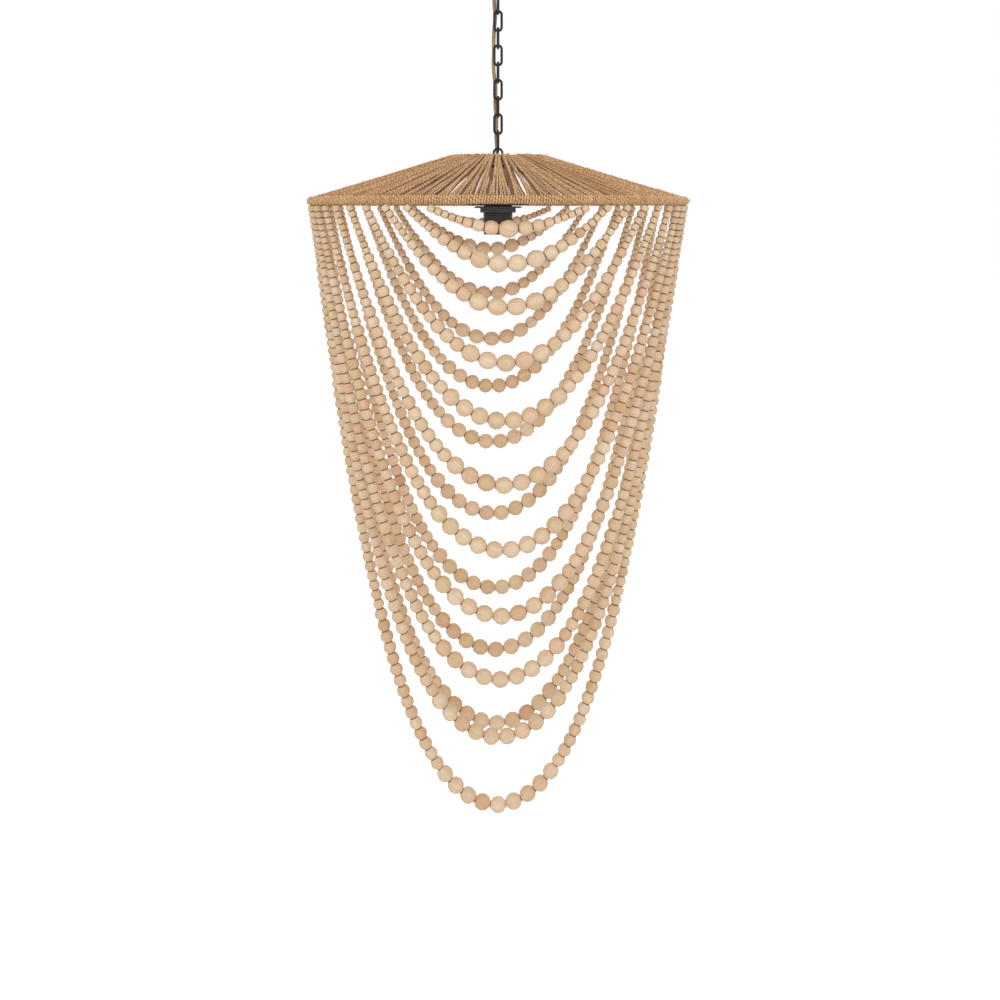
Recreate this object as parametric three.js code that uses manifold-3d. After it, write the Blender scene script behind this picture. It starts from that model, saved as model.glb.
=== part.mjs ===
// Beaded chandelier: a shallow cone of jute cords on a wire frame hangs on a steel chain below a ceiling cup,
// and strands of wooden beads are draped across its rim, one behind the other, the middle one lowest.
// Millimetres, +Z up, +X to the right of someone in front. The origin is on the ceiling over the chandelier.
import * as THREE from "three";
import { mergeVertices } from "three/addons/utils/BufferGeometryUtils.js";
import Module from "manifold-3d";

const wasm = await Module();
wasm.setup();

// Gap between pieces that seat on or in each other
const clearance = 0.35;
// How far a cutting tool runs past the face that it cuts
const overrun = 1;

// Ceiling cup and the strap that carries it
const canopyRadius = 63.5;
const canopyHeight = 25;
const canopySheet = 1.5;
const canopyBend = 6;
const canopySegments = 24;
const strapWidth = 18;
const strapThickness = 2;
const strapTab = 16;
const strapSlotLength = 12;
const strapSlotWidth = 5;
const strapSlotShare = 0.55;
const strapBossRadius = 9;
const strapBossHeight = 8;
const cupScrewRadius = 1.8;
const cupScrewHeadRadius = 3.6;
const cupScrewHeadHeight = 2;
const terminalLength = 26;
const terminalWidth = 14;
const terminalHeight = 10;
const terminalShare = 0.5;

// Threaded tube, its nuts, and the two loop fittings screwed on it
const threadRadius = 4.8;
const threadBoreRadius = 3.2;
const nutAcrossFlats = 17;
const nutHeight = 5;
const collarRadius = 12.5;
const collarHeight = 9;
const collarChamfer = 1.5;
const collarBoreDepth = 6;
const loopOuterRadius = 8.7;
const loopWireRadius = 1.75;
const loopSink = 2;

// Chain of oval links, each turned a quarter against the next
const linkCount = 10;
const linkLength = 35.6;
const linkWidth = 15.6;
const linkWireRadius = 2;
const flexRadius = 3;

// Wire frame of the shade
const rimRadius = 293;
const rimRodRadius = 3;
const topRingRadius = 74;
const topRingRodRadius = 2.25;
const coneHeight = 63.5;
const strutCount = 8;
const strutRadius = 2;
const spiderArms = 3;
const spiderArmRadius = 2;
const hubRadius = 15;
const hubThickness = 3;
const loopAboveTopRing = 6.8;

// Jute: cords laid from the top ring to the rim, and a cord wound round the rim
const juteThickness = 4.2;
const juteRibs = 66;
const juteRibDepth = 1.5;
const rimWrapRadius = 6.5;
const rimSegments = 44;
const lipEndAngle = THREE.MathUtils.degToRad(125);
// Half the width of the flat face under the rim, where the strands hang, as an angle of the wrap's section
const rimFlatAngle = THREE.MathUtils.degToRad(20);

// Lampholder on the lower end of the stem
const plateRadius = 48.5;
const plateThickness = 2;
const plateBelowRim = 3.8;
const holderRadius = 23.5;
const holderHeight = 46;
const holderRoof = 14;
const holderStemDepth = 7;
const socketRadius = 15;
const shellWall = 0.8;
const shellLength = 26;
const contactRadius = 5;
const contactHeight = 3;
const ringRadius = 28.25;
const ringHeight = 10.2;
const ringFlangeRadius = 37;
const ringFlangeThickness = 2.8;
const ringBelowPlate = 1.4;

// Bead strands: the first hangs at this angle from the front of the rim, the middle one across the full width
const frontStrands = 10;
const firstStrandAngle = THREE.MathUtils.degToRad(22);
const longestDrop = 957;
const frontDropShares = [0.0418, 0.0923, 0.1561, 0.2399, 0.3297, 0.4319, 0.5394, 0.6519, 0.7646, 0.8723];
const backDropShares = [0.0418, 0.087, 0.1694, 0.2516, 0.3352, 0.4311, 0.5522, 0.6738, 0.7691, 0.8803];
const stringRadius = 1.2;
// Beads from the bottom of a strand to its ends, and how long each kind is for its diameter
const beadDiameters = [26, 21, 18, 15, 12];
const beadLengthShares = [0.96, 0.85, 0.84, 0.85, 0.78];
// How the length between the largest and the smallest beads is shared among the kinds between them
const middleRunShares = [0.34, 0.44, 0.22];
// How many of the largest and of the smallest half a strand has: in the shallowest, and in any of this share or more
const largestCounts = [1, 5];
const smallestCounts = [4, 10];
const fullCountShare = 0.5;
const waistShare = 0.45;
// A drawn bead is longer than a real one and stands for this many, which keeps the facets down
const beadsPerSolid = 1.9;
const beadSides = 3;
// A three-sided section this much larger is as wide from the front as the round bead
const beadSectionShare = 1.15;
const strandSwing = THREE.MathUtils.degToRad(10);
// How finely a strand's curve is laid, and between which pulls its own is looked for
const curveSteps = 160;
const halvings = 40;
const pullLimit = 20;

// Flat finishes of the pieces
const blackSteel = new THREE.MeshStandardMaterial({ color: 0x1d1c1b, roughness: 0.5, metalness: 0.8 });
const zincSteel = new THREE.MeshStandardMaterial({ color: 0x8d8f92, roughness: 0.4, metalness: 1 });
const blackPlastic = new THREE.MeshStandardMaterial({ color: 0x171615, roughness: 0.45, metalness: 0 });
const brass = new THREE.MeshStandardMaterial({ color: 0xb8924a, roughness: 0.3, metalness: 1 });
const jute = new THREE.MeshStandardMaterial({ color: 0xb48c5c, roughness: 0.95, metalness: 0 });
const flexCotton = new THREE.MeshStandardMaterial({ color: 0xb79a72, roughness: 0.9, metalness: 0 });
const beadWood = new THREE.MeshStandardMaterial({ color: 0xd9b48c, roughness: 0.7, metalness: 0 });

const chandelier = new THREE.Group();
const quarterTurn = Math.PI / 2;

// Merges equal points, drops collapsed faces and turns the skin so that its faces point out.
function solid(geometry) {
  const bare = new THREE.BufferGeometry();
  bare.setAttribute("position", geometry.getAttribute("position").clone());
  if (geometry.index) bare.setIndex(geometry.index.clone());
  const merged = mergeVertices(bare);
  const place = (i) => new THREE.Vector3().fromBufferAttribute(merged.getAttribute("position"), i);
  const faces = [];
  let volume = 0;
  for (let i = 0; i < merged.index.count; i += 3) {
    const [a, b, c] = [0, 1, 2].map((k) => merged.index.getX(i + k));
    if (a === b || b === c || c === a) continue;
    faces.push([a, b, c]);
    volume += place(a).dot(place(b).cross(place(c)));
  }
  merged.setIndex(faces.flatMap(([a, b, c]) => (volume > 0 ? [a, b, c] : [a, c, b])));
  return merged;
}

// Joins a row of rings of points into one closed skin. A closed row runs round to its first ring again.
function loft(rings, closed) {
  const sides = rings[0].length;
  const faces = [];
  const spans = closed ? rings.length : rings.length - 1;
  for (let i = 0; i < spans; i++) {
    const next = ((i + 1) % rings.length) * sides;
    for (let j = 0; j < sides; j++) {
      const side = (j + 1) % sides;
      faces.push(i * sides + j, i * sides + side, next + side);
      faces.push(i * sides + j, next + side, next + j);
    }
  }
  const last = (rings.length - 1) * sides;
  for (let j = 1; !closed && j < sides - 1; j++) {
    faces.push(0, j + 1, j);
    faces.push(last, last + j, last + j + 1);
  }
  const geometry = new THREE.BufferGeometry();
  const numbers = rings.flat().flatMap((p) => p.toArray());
  geometry.setAttribute("position", new THREE.Float32BufferAttribute(numbers, 3));
  geometry.setIndex(faces);
  return solid(geometry);
}

// Turns a profile of [radius, height] points round the Z axis.
function turned(profile, segments) {
  const points = profile.map(([radius, height]) => new THREE.Vector2(radius, height));
  return solid(new THREE.LatheGeometry(points, segments).rotateX(quarterTurn));
}

// A turned ring or tube: its profile is closed on itself.
function turnedRing(profile, segments) {
  return turned([...profile, profile[0]], segments);
}

// An upright cylinder between two heights.
function rod(radius, low, high, segments) {
  return solid(new THREE.CylinderGeometry(radius, radius, high - low, segments)
    .rotateX(quarterTurn).translate(0, 0, (low + high) / 2));
}

// A round bar between two points.
function bar(radius, from, to, segments) {
  const along = to.clone().sub(from);
  const turn = new THREE.Quaternion().setFromUnitVectors(
    new THREE.Vector3(0, 1, 0), along.clone().normalize());
  const middle = from.clone().add(to).multiplyScalar(1 / 2);
  return solid(new THREE.CylinderGeometry(radius, radius, along.length(), segments)
    .applyQuaternion(turn).translate(...middle.toArray()));
}

function block(lowX, highX, lowY, highY, lowZ, highZ) {
  return solid(new THREE.BoxGeometry(highX - lowX, highY - lowY, highZ - lowZ)
    .translate((lowX + highX) / 2, (lowY + highY) / 2, (lowZ + highZ) / 2));
}

function toManifold(geometry) {
  return new wasm.Manifold(new wasm.Mesh({
    numProp: 3,
    vertProperties: new Float32Array(geometry.getAttribute("position").array),
    triVerts: new Uint32Array(geometry.index.array),
  }));
}

function fromManifold(shape) {
  const mesh = shape.getMesh();
  const geometry = new THREE.BufferGeometry();
  geometry.setAttribute("position", new THREE.Float32BufferAttribute(mesh.vertProperties, 3));
  geometry.setIndex([...mesh.triVerts]);
  return solid(geometry);
}

// Joins the first list of shapes and cuts the second list out of them.
function joined(shapes, cuts = []) {
  let whole = toManifold(shapes[0]);
  for (const shape of shapes.slice(1)) whole = whole.add(toManifold(shape));
  for (const cut of cuts) whole = whole.subtract(toManifold(cut));
  return fromManifold(whole);
}

function addPiece(name, geometry, material, height = 0) {
  const mesh = new THREE.Mesh(geometry, material);
  mesh.name = name;
  mesh.position.z = height;
  chandelier.add(mesh);
  return mesh;
}

// Heights, from the ceiling down
const cupFloor = -canopyHeight;
const canopyCollarTop = cupFloor - clearance;
const canopyCollarFace = canopyCollarTop - collarHeight;
const loopCentreRadius = loopOuterRadius - loopWireRadius;
const loopReach = loopOuterRadius - loopSink;
const wiresApart = loopWireRadius + clearance + linkWireRadius;
const canopyLoopCentre = canopyCollarFace - loopReach;
const linkHalf = linkLength / 2 - linkWireRadius;
const firstLinkCentre = canopyLoopCentre - loopCentreRadius + wiresApart - linkHalf;
const linkPitch = 2 * linkHalf - 2 * linkWireRadius - clearance;
const lastLinkCentre = firstLinkCentre - (linkCount - 1) * linkPitch;
const shadeLoopCentre = lastLinkCentre - linkHalf + wiresApart - loopCentreRadius;
const shadeCollarTop = shadeLoopCentre - loopReach;
const rimHeight = shadeCollarTop - loopAboveTopRing - coneHeight;
const hubTop = shadeCollarTop - collarHeight - clearance;
const hubBottom = hubTop - hubThickness;
const plateTop = rimHeight - plateBelowRim;
const holderTop = plateTop - plateThickness - clearance;

// The cup: an open shell with a bent edge, a hole for the threaded tube and two for its side screws
function canopy() {
  const hole = threadRadius + clearance;
  const shell = turnedRing([
    [hole, cupFloor],
    [canopyRadius - canopyBend, cupFloor],
    [canopyRadius - canopyBend * (1 - Math.SQRT1_2), cupFloor + canopyBend * (1 - Math.SQRT1_2)],
    [canopyRadius, cupFloor + canopyBend],
    [canopyRadius, 0],
    [canopyRadius - canopySheet, 0],
    [canopyRadius - canopySheet, cupFloor + canopyBend],
    [canopyRadius - canopyBend, cupFloor + canopySheet],
    [hole, cupFloor + canopySheet],
  ], canopySegments);
  return joined([shell], [cupScrewHole()]);
}

// The strap's tabs stand just inside the cup's faceted wall
const tabReach = Math.sqrt((canopyRadius - canopySheet) ** 2 - (strapWidth / 2) ** 2)
  * Math.cos(Math.PI / canopySegments) - clearance;
const tabMiddle = -strapTab / 2;

// One long rod that cuts the holes of both side screws
function cupScrewHole() {
  const reach = canopyRadius + overrun;
  return bar(cupScrewRadius + clearance, new THREE.Vector3(-reach, 0, tabMiddle),
    new THREE.Vector3(reach, 0, tabMiddle), 8);
}

// The strap: a plate against the ceiling with slots for its screws, a tapped boss and two tabs bent down
function mountingStrap() {
  const half = strapWidth / 2;
  const slots = [-1, 1].map((side) => {
    const x = side * tabReach * strapSlotShare;
    return block(x - strapSlotLength / 2, x + strapSlotLength / 2,
      -strapSlotWidth / 2, strapSlotWidth / 2, -strapThickness - overrun, overrun);
  });
  const tabs = [-1, 1].map((side) => {
    const edges = [side * tabReach, side * (tabReach - strapThickness)].sort((a, b) => a - b);
    return block(...edges, -half, half, -strapTab, 0);
  });
  const bossEnd = -strapThickness - strapBossHeight;
  return joined([
    block(-tabReach, tabReach, -half, half, -strapThickness, 0),
    rod(strapBossRadius, bossEnd, -strapThickness / 2, 16),
    ...tabs,
  ], [
    rod(threadRadius + clearance, bossEnd - overrun, -strapThickness, 12),
    cupScrewHole(),
    ...slots,
  ]);
}

// A side screw: its shank passes the cup's wall and the tab, its head lies outside the cup
function cupScrew() {
  const headSeat = canopyRadius + clearance;
  const tip = tabReach - 2 * strapThickness;
  return turned([
    [0, tip],
    [cupScrewRadius, tip],
    [cupScrewRadius, headSeat],
    [cupScrewHeadRadius, headSeat],
    [cupScrewHeadRadius * Math.SQRT1_2, headSeat + cupScrewHeadHeight],
    [0, headSeat + cupScrewHeadHeight],
  ], 8).rotateY(quarterTurn);
}

// A six-sided nut standing on the height 0
function hexNut() {
  const corner = nutAcrossFlats / Math.sqrt(3);
  const outline = new THREE.Shape();
  outline.setFromPoints(Array.from({ length: 6 }, (_, i) =>
    new THREE.Vector2(corner, 0).rotateAround(new THREE.Vector2(), (i * Math.PI) / 3)));
  outline.closePath();
  outline.holes.push(new THREE.Path().absarc(0, 0, threadRadius + clearance, 0, 2 * Math.PI, true));
  const settings = { depth: nutHeight, bevelEnabled: false, curveSegments: 6 };
  return solid(new THREE.ExtrudeGeometry(outline, settings));
}

// A loop fitting: a collar with a tapped bore below, and above it a round eye in the XZ plane
function loopFitting() {
  const collar = turned([
    [0, -collarHeight],
    [collarRadius - collarChamfer, -collarHeight],
    [collarRadius, -collarHeight + collarChamfer],
    [collarRadius, 0],
    [0, 0],
  ], 16);
  const eye = solid(new THREE.TorusGeometry(loopCentreRadius, loopWireRadius, 6, 16)
    .rotateX(quarterTurn).translate(0, 0, loopReach));
  const bore = rod(threadRadius + clearance, -collarHeight - overrun, -collarHeight + collarBoreDepth, 12);
  return joined([collar, eye], [bore]);
}

function threadedTube(low, high) {
  return turnedRing([
    [threadBoreRadius, low],
    [threadRadius, low],
    [threadRadius, high],
    [threadBoreRadius, high],
  ], 12);
}

// An oval link in the XZ plane: two half circles joined by straight sides
function chainLink() {
  const endRadius = linkWidth / 2 - linkWireRadius;
  const straight = linkHalf - endRadius;
  const endSteps = 6;
  const sides = 6;
  const rings = [];
  for (const end of [1, -1]) {
    for (let i = 0; i <= endSteps; i++) {
      const angle = (i / endSteps) * Math.PI + (end > 0 ? 0 : Math.PI);
      const out = new THREE.Vector3(Math.cos(angle), 0, Math.sin(angle));
      const centre = out.clone().multiplyScalar(endRadius).add(new THREE.Vector3(0, 0, end * straight));
      rings.push(circle(centre, out, new THREE.Vector3(0, 1, 0), linkWireRadius, sides));
    }
  }
  return loft(rings, true);
}

// Points of a circle of which the first lies along the first axis
function circle(centre, axisA, axisB, radius, sides, start = 0) {
  return Array.from({ length: sides }, (_, i) => {
    const angle = start + (i * 2 * Math.PI) / sides;
    return centre.clone()
      .addScaledVector(axisA, radius * Math.cos(angle))
      .addScaledVector(axisB, radius * Math.sin(angle));
  });
}

// The flex: it leaves the upper collar, follows the chain behind its left side and ends at the lower collar
const flexRoute = [
  [-6, 5.6, canopyCollarFace - clearance],
  [-6, 5.6, -47],
  [-6.2, 6.2, -62],
  [-5.8, 6.8, -80],
  [-5, 8.2, -93],
  [-4, 9.2, -105],
  [-4.8, 8.2, -118],
  [-6, 6.8, -131],
  [-6.6, 6.2, -146],
  [-6.4, 6.2, -161],
  [-6.9, 6.2, -176],
  [-6.7, 6.8, -191],
  [-5.2, 8.2, -204],
  [-3.4, 9.4, -216],
  [-3.4, 9.8, -228],
  [-4, 10.2, -241],
  [-3.2, 11, -256],
  [-1.8, 11.2, -271],
  [-2, 11.6, -285],
  [-2.2, 12, -297],
  [-1.6, 12, -308],
  [-0.9, 10.8, -318.5],
  [-0.6, 9.3, -326],
  [-0.6, 9.3, shadeCollarTop + clearance],
];

function supplyFlex() {
  const path = new THREE.CatmullRomCurve3(flexRoute.map((p) => new THREE.Vector3(...p)));
  const section = new THREE.Shape().setFromPoints(
    circle(new THREE.Vector3(), new THREE.Vector3(1, 0, 0), new THREE.Vector3(0, 1, 0), flexRadius, 8)
      .map((p) => new THREE.Vector2(p.x, p.y)));
  return solid(new THREE.ExtrudeGeometry(section, { steps: 36, extrudePath: path }));
}

// A point of the shade's sections: its distance from the axis and its height above the rim
const roundPoint = (radius, angle, height) =>
  new THREE.Vector3(radius * Math.cos(angle), radius * Math.sin(angle), height);

// The welded wire frame: both rings, the struts between them, and the spider that hangs it on the stem
function shadeFrame() {
  const hubMiddle = hubTop - rimHeight - hubThickness / 2;
  const ring = (radius, tube, height, segments) =>
    solid(new THREE.TorusGeometry(radius, tube, 6, segments).translate(0, 0, height));
  const shapes = [
    ring(topRingRadius, topRingRodRadius, coneHeight, 24),
    ring(rimRadius, rimRodRadius, 0, rimSegments),
    rod(hubRadius, hubBottom - rimHeight, hubTop - rimHeight, 16),
  ];
  for (let i = 0; i < strutCount; i++) {
    const angle = ((i + 1 / 2) * 2 * Math.PI) / strutCount;
    shapes.push(bar(strutRadius, roundPoint(topRingRadius, angle, coneHeight),
      roundPoint(rimRadius, angle, 0), 6));
  }
  for (let i = 0; i < spiderArms; i++) {
    const angle = quarterTurn + ((i + 1 / 2) * 2 * Math.PI) / spiderArms;
    shapes.push(bar(spiderArmRadius, roundPoint(hubRadius - spiderArmRadius, angle, hubMiddle),
      roundPoint(topRingRadius, angle, coneHeight), 6));
  }
  const hole = rod(threadRadius + clearance, hubMiddle - hubThickness, hubMiddle + hubThickness, 12);
  return joined(shapes, [hole]);
}

const coneSlope = Math.atan2(coneHeight, rimRadius - topRingRadius);
const coneNormal = Math.PI / 2 - coneSlope;
const juteInner = Math.max(strutRadius, topRingRodRadius) + clearance;
const rimFlatDepth = rimWrapRadius * Math.cos(rimFlatAngle);

// A section point at a distance and angle from a centre in the plane through the axis
const around = (centre, radius, angle) =>
  [centre[0] + radius * Math.cos(angle), centre[1] + radius * Math.sin(angle)];

// Turns a section round the axis in steps; the section may change from step to step.
function turnedSections(steps, sectionAt) {
  const rings = [];
  for (let i = 0; i < steps; i++) {
    const angle = (i * 2 * Math.PI) / steps;
    rings.push(sectionAt(i).map(([radius, height]) => roundPoint(radius, angle, height)));
  }
  return loft(rings, true);
}

// The jute cover: cords side by side, drawn as ribs, whose upper ends lap over the top ring
function juteCone() {
  const top = [topRingRadius, coneHeight];
  const rim = [rimRadius, 0];
  const lipSteps = 2;
  const endGap = Math.sqrt((rimWrapRadius + clearance) ** 2 - juteInner ** 2);
  const footAt = (offset) => {
    const [radius, height] = around(rim, offset, coneNormal);
    return [radius - endGap * Math.cos(coneSlope), height + endGap * Math.sin(coneSlope)];
  };
  const lip = (offset) => Array.from({ length: lipSteps + 1 }, (_, i) =>
    around(top, offset, coneNormal + (i / lipSteps) * (lipEndAngle - coneNormal)));
  return turnedSections(2 * juteRibs, (i) => {
    const outer = juteInner + juteThickness - (i % 2) * juteRibDepth;
    return [footAt(outer), ...lip(outer), ...lip(juteInner).reverse(), footAt(juteInner)];
  });
}

// The jute wound round the rim: a tube, open along the side where the struts come in, with a flat under it
function rimWrap() {
  const rim = [rimRadius, 0];
  const strutSide = Math.PI - coneSlope;
  const innerSteps = 4;
  const slitHalf = Math.asin((strutRadius + 2 * clearance) / (rimRodRadius + clearance));
  const [from, to] = [strutSide + slitHalf, strutSide - slitHalf + 2 * Math.PI];
  const stepHalf = (to - from) / innerSteps / 2;
  const innerRadius = (rimRodRadius + clearance) / Math.cos(stepHalf);
  const bottom = 3 * quarterTurn;
  const outerSteps = 4;
  const outer = [around(rim, rimWrapRadius, from), around(rim, rimWrapRadius, bottom - rimFlatAngle)];
  for (let i = 0; i <= outerSteps; i++) {
    const angle = bottom + rimFlatAngle + (i / outerSteps) * (to - bottom - rimFlatAngle);
    outer.push(around(rim, rimWrapRadius, angle));
  }
  const inner = Array.from({ length: innerSteps + 1 }, (_, i) =>
    around(rim, innerRadius, to - (i / innerSteps) * (to - from)));
  return turnedSections(rimSegments, () => [...outer, ...inner]);
}

// The lampholder's pieces, each turned round the axis
function galleryPlate() {
  return turnedRing([
    [threadRadius + clearance, plateTop - plateThickness],
    [plateRadius, plateTop - plateThickness],
    [plateRadius, plateTop],
    [threadRadius + clearance, plateTop],
  ], 32);
}

const holderBottom = holderTop - holderHeight;
const socketRoof = holderTop - holderRoof;

function lampholderBody() {
  const stemSeat = holderTop - holderStemDepth;
  return turned([
    [0, stemSeat],
    [threadRadius + clearance, stemSeat],
    [threadRadius + clearance, holderTop],
    [holderRadius, holderTop],
    [holderRadius, holderBottom],
    [socketRadius, holderBottom],
    [socketRadius, socketRoof],
    [0, socketRoof],
  ], 24);
}

function screwShell() {
  const outer = socketRadius * Math.cos(Math.PI / 24) - clearance;
  const bottom = holderBottom + clearance;
  return turnedRing([
    [outer - shellWall, bottom],
    [outer, bottom],
    [outer, bottom + shellLength],
    [outer - shellWall, bottom + shellLength],
  ], 24);
}

function centreContact() {
  const top = socketRoof - clearance;
  return rod(contactRadius, top - contactHeight, top, 12);
}

function retainingRing() {
  const top = holderTop - ringBelowPlate;
  const bore = holderRadius / Math.cos(Math.PI / 24) + clearance;
  return turnedRing([
    [bore, top - ringHeight],
    [ringRadius, top - ringHeight],
    [ringRadius, top - ringFlangeThickness],
    [ringFlangeRadius, top - ringFlangeThickness],
    [ringFlangeRadius, top],
    [bore, top],
  ], 24);
}

// Half of a hanging strand from its lowest point to its hanging point, as [across, up] points.
// Its weight for each step is that of the beads there, and the pull along it is found by halving.
function hangingCurve(halfWidth, drop) {
  const step = Math.hypot(halfWidth, drop) / curveSteps;
  const [heavy, light] = [beadDiameters[0], beadDiameters.at(-1)];
  const lay = (pull) => {
    const points = [[0, 0]];
    let [across, up, weight] = [0, 0, 0];
    while (up < drop) {
      weight += step * THREE.MathUtils.lerp(heavy, light, up / drop) ** 2;
      const tension = Math.hypot(pull, weight);
      const part = Math.min(1, (drop - up) / (step * weight / tension));
      across += (part * step * pull) / tension;
      up = part < 1 ? drop : up + (step * weight) / tension;
      points.push([across, up]);
    }
    return points;
  };
  let [low, high] = [0, pullLimit * halfWidth * heavy ** 2];
  for (let i = 0; i < halvings; i++) {
    const pull = (low + high) / 2;
    if (lay(pull).at(-1)[0] < halfWidth) low = pull;
    else high = pull;
  }
  return lay(high);
}

// Diameters of the beads of half a strand, from the bottom up. A longer strand has more of each kind.
function beadRow(halfLength, dropShare) {
  const growth = Math.min(1, dropShare / fullCountShare);
  const pitches = beadDiameters.map((d, i) => d * beadLengthShares[i]);
  const largest = THREE.MathUtils.lerp(...largestCounts, growth);
  const smallest = THREE.MathUtils.lerp(...smallestCounts, growth);
  const rest = halfLength - largest * pitches[0] - smallest * pitches.at(-1);
  const between = middleRunShares.map((share, i) => (rest * share) / pitches[i + 1]);
  const counts = [largest, ...between, smallest];
  return counts.flatMap((count, i) => {
    const drawn = Math.max(1, Math.round(count / beadsPerSolid));
    return Array.from({ length: drawn }, () => i);
  });
}

// One strand in its own XZ plane, hanging from the height 0 at plus and minus half its width
function beadStrand(halfWidth, drop, dropShare) {
  const topRadius = beadDiameters.at(-1) / 2;
  const slope = Math.atan2(2 * drop, halfWidth);
  const halfTopBead = topRadius * beadLengthShares.at(-1);
  // A strand that leaves the rim at a low angle starts lower, so that its first bead clears the rim
  const lead = clearance + Math.max(0, topRadius * Math.cos(slope - strandSwing)
    - halfTopBead * Math.sin(slope));
  const curve = hangingCurve(halfWidth, drop - lead);
  const lengths = [0];
  for (let i = 1; i < curve.length; i++) {
    lengths.push(lengths[i - 1] + Math.hypot(curve[i][0] - curve[i - 1][0], curve[i][1] - curve[i - 1][1]));
  }
  const total = lengths.at(-1);
  const kinds = beadRow(total, dropShare);
  const natural = kinds.map((kind) => beadDiameters[kind] * beadLengthShares[kind]);
  const fit = total / natural.reduce((sum, length) => sum + length, 0);
  const stations = [];
  let along = 0;
  kinds.forEach((kind, i) => {
    const belly = (beadSectionShare * beadDiameters[kind]) / 2;
    const above = beadDiameters[kinds[i + 1]] / 2;
    stations.push([along + (fit * natural[i]) / 2, belly]);
    along += fit * natural[i];
    if (i < kinds.length - 1) stations.push([along, waistShare * above]);
  });
  const placeAt = (distance) => {
    const reached = lengths.findIndex((length) => length >= distance);
    const i = reached < 0 ? lengths.length - 1 : Math.max(1, reached);
    const part = (distance - lengths[i - 1]) / (lengths[i] - lengths[i - 1]);
    const [x, z] = [0, 1].map((k) => THREE.MathUtils.lerp(curve[i - 1][k], curve[i][k], part));
    const out = new THREE.Vector3(curve[i][1] - curve[i - 1][1], 0, curve[i - 1][0] - curve[i][0]).normalize();
    return [new THREE.Vector3(x, 0, z - drop), out];
  };
  const section = (centre, out, radius) =>
    circle(centre, out, new THREE.Vector3(0, 1, 0), radius, beadSides, quarterTurn);
  const ringAt = (distance, radius, side) => {
    const [centre, out] = placeAt(distance);
    centre.x *= side;
    out.x *= side;
    return section(centre, out, radius);
  };
  const endAt = (side) =>
    section(new THREE.Vector3(side * halfWidth, 0, 0), new THREE.Vector3(side, 0, 0), stringRadius);
  const half = (side) => [...stations.map(([distance, radius]) => ringAt(distance, radius, side)), endAt(side)];
  const middle = section(new THREE.Vector3(0, 0, -drop), new THREE.Vector3(0, 0, -1),
    (waistShare * beadDiameters[0]) / 2);
  return loft([...half(-1).reverse(), middle, ...half(1)], false);
}

// The pieces at the ceiling
addPiece("canopy", canopy(), blackSteel);
addPiece("mounting_strap", mountingStrap(), zincSteel);
addPiece("cup_screw_right", cupScrew(), blackSteel, tabMiddle);
addPiece("cup_screw_left", cupScrew(), blackSteel, tabMiddle).rotation.z = Math.PI;
const terminalX = tabReach * terminalShare;
addPiece("terminal_block", block(terminalX - terminalLength / 2, terminalX + terminalLength / 2,
  -terminalWidth / 2, terminalWidth / 2, -strapThickness - clearance - terminalHeight,
  -strapThickness - clearance), blackPlastic);
addPiece("canopy_nipple", threadedTube(canopyCollarTop - collarBoreDepth + clearance,
  -strapThickness - clearance), zincSteel);
addPiece("canopy_locknut", hexNut(), zincSteel, cupFloor + canopySheet + clearance);
addPiece("canopy_loop", loopFitting().rotateX(Math.PI).rotateZ(quarterTurn), blackSteel, canopyCollarFace);

// The chain: the first link lies across the view, the next along it, and so on
for (let i = 0; i < linkCount; i++) {
  const link = addPiece(`link_${String(i + 1).padStart(2, "0")}`, chainLink(), blackSteel,
    firstLinkCentre - i * linkPitch);
  link.rotation.z = (i % 2) * quarterTurn;
}
addPiece("supply_flex", supplyFlex(), flexCotton);

// The shade on its stem
addPiece("shade_loop", loopFitting(), blackSteel, shadeCollarTop);
addPiece("stem", threadedTube(holderTop - holderStemDepth + clearance,
  shadeCollarTop - collarHeight + collarBoreDepth - clearance), blackSteel);
addPiece("hub_nut", hexNut(), blackSteel, hubBottom - clearance - nutHeight);
addPiece("shade_frame", shadeFrame(), blackSteel, rimHeight);
addPiece("jute_cone", juteCone(), jute, rimHeight);
addPiece("rim_wrap", rimWrap(), jute, rimHeight);

// The lampholder
addPiece("stem_nut", hexNut(), blackSteel, plateTop + clearance);
addPiece("gallery_plate", galleryPlate(), blackSteel);
addPiece("lampholder_body", lampholderBody(), blackPlastic);
addPiece("retaining_ring", retainingRing(), blackPlastic);
addPiece("screw_shell", screwShell(), brass);
addPiece("centre_contact", centreContact(), brass);

// The strands: each hangs across the rim in its own plane, from its angle to the front or the back of the rim
const hangHeight = rimHeight - rimFlatDepth - clearance;
const strandStep = (quarterTurn - firstStrandAngle) / frontStrands;

function addStrand(name, angle, share, side) {
  const drop = share * longestDrop - rimFlatDepth - clearance;
  const strand = addPiece(name, beadStrand(rimRadius * Math.sin(angle), drop, share), beadWood, hangHeight);
  strand.position.y = side * rimRadius * Math.cos(angle);
}

for (let i = 0; i < frontStrands; i++) {
  const number = String(i + 1).padStart(2, "0");
  addStrand(`strand_front_${number}`, firstStrandAngle + i * strandStep, frontDropShares[i], -1);
  addStrand(`strand_back_${number}`, firstStrandAngle + i * strandStep, backDropShares[i], 1);
}
addStrand("strand_middle", quarterTurn, 1, 0);

export default chandelier;
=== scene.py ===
# %% [markdown]
# # A beaded chandelier
# A shallow cone of jute cords hangs on a steel chain, and strands of wooden beads are draped below its
# rim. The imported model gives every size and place, and this lesson dresses it: it makes the beads, the
# cords and the metal as they are on the real lamp, and gives each finish a material built from nodes.

import math
import random

import bpy
from mathutils import Matrix, Vector


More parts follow.
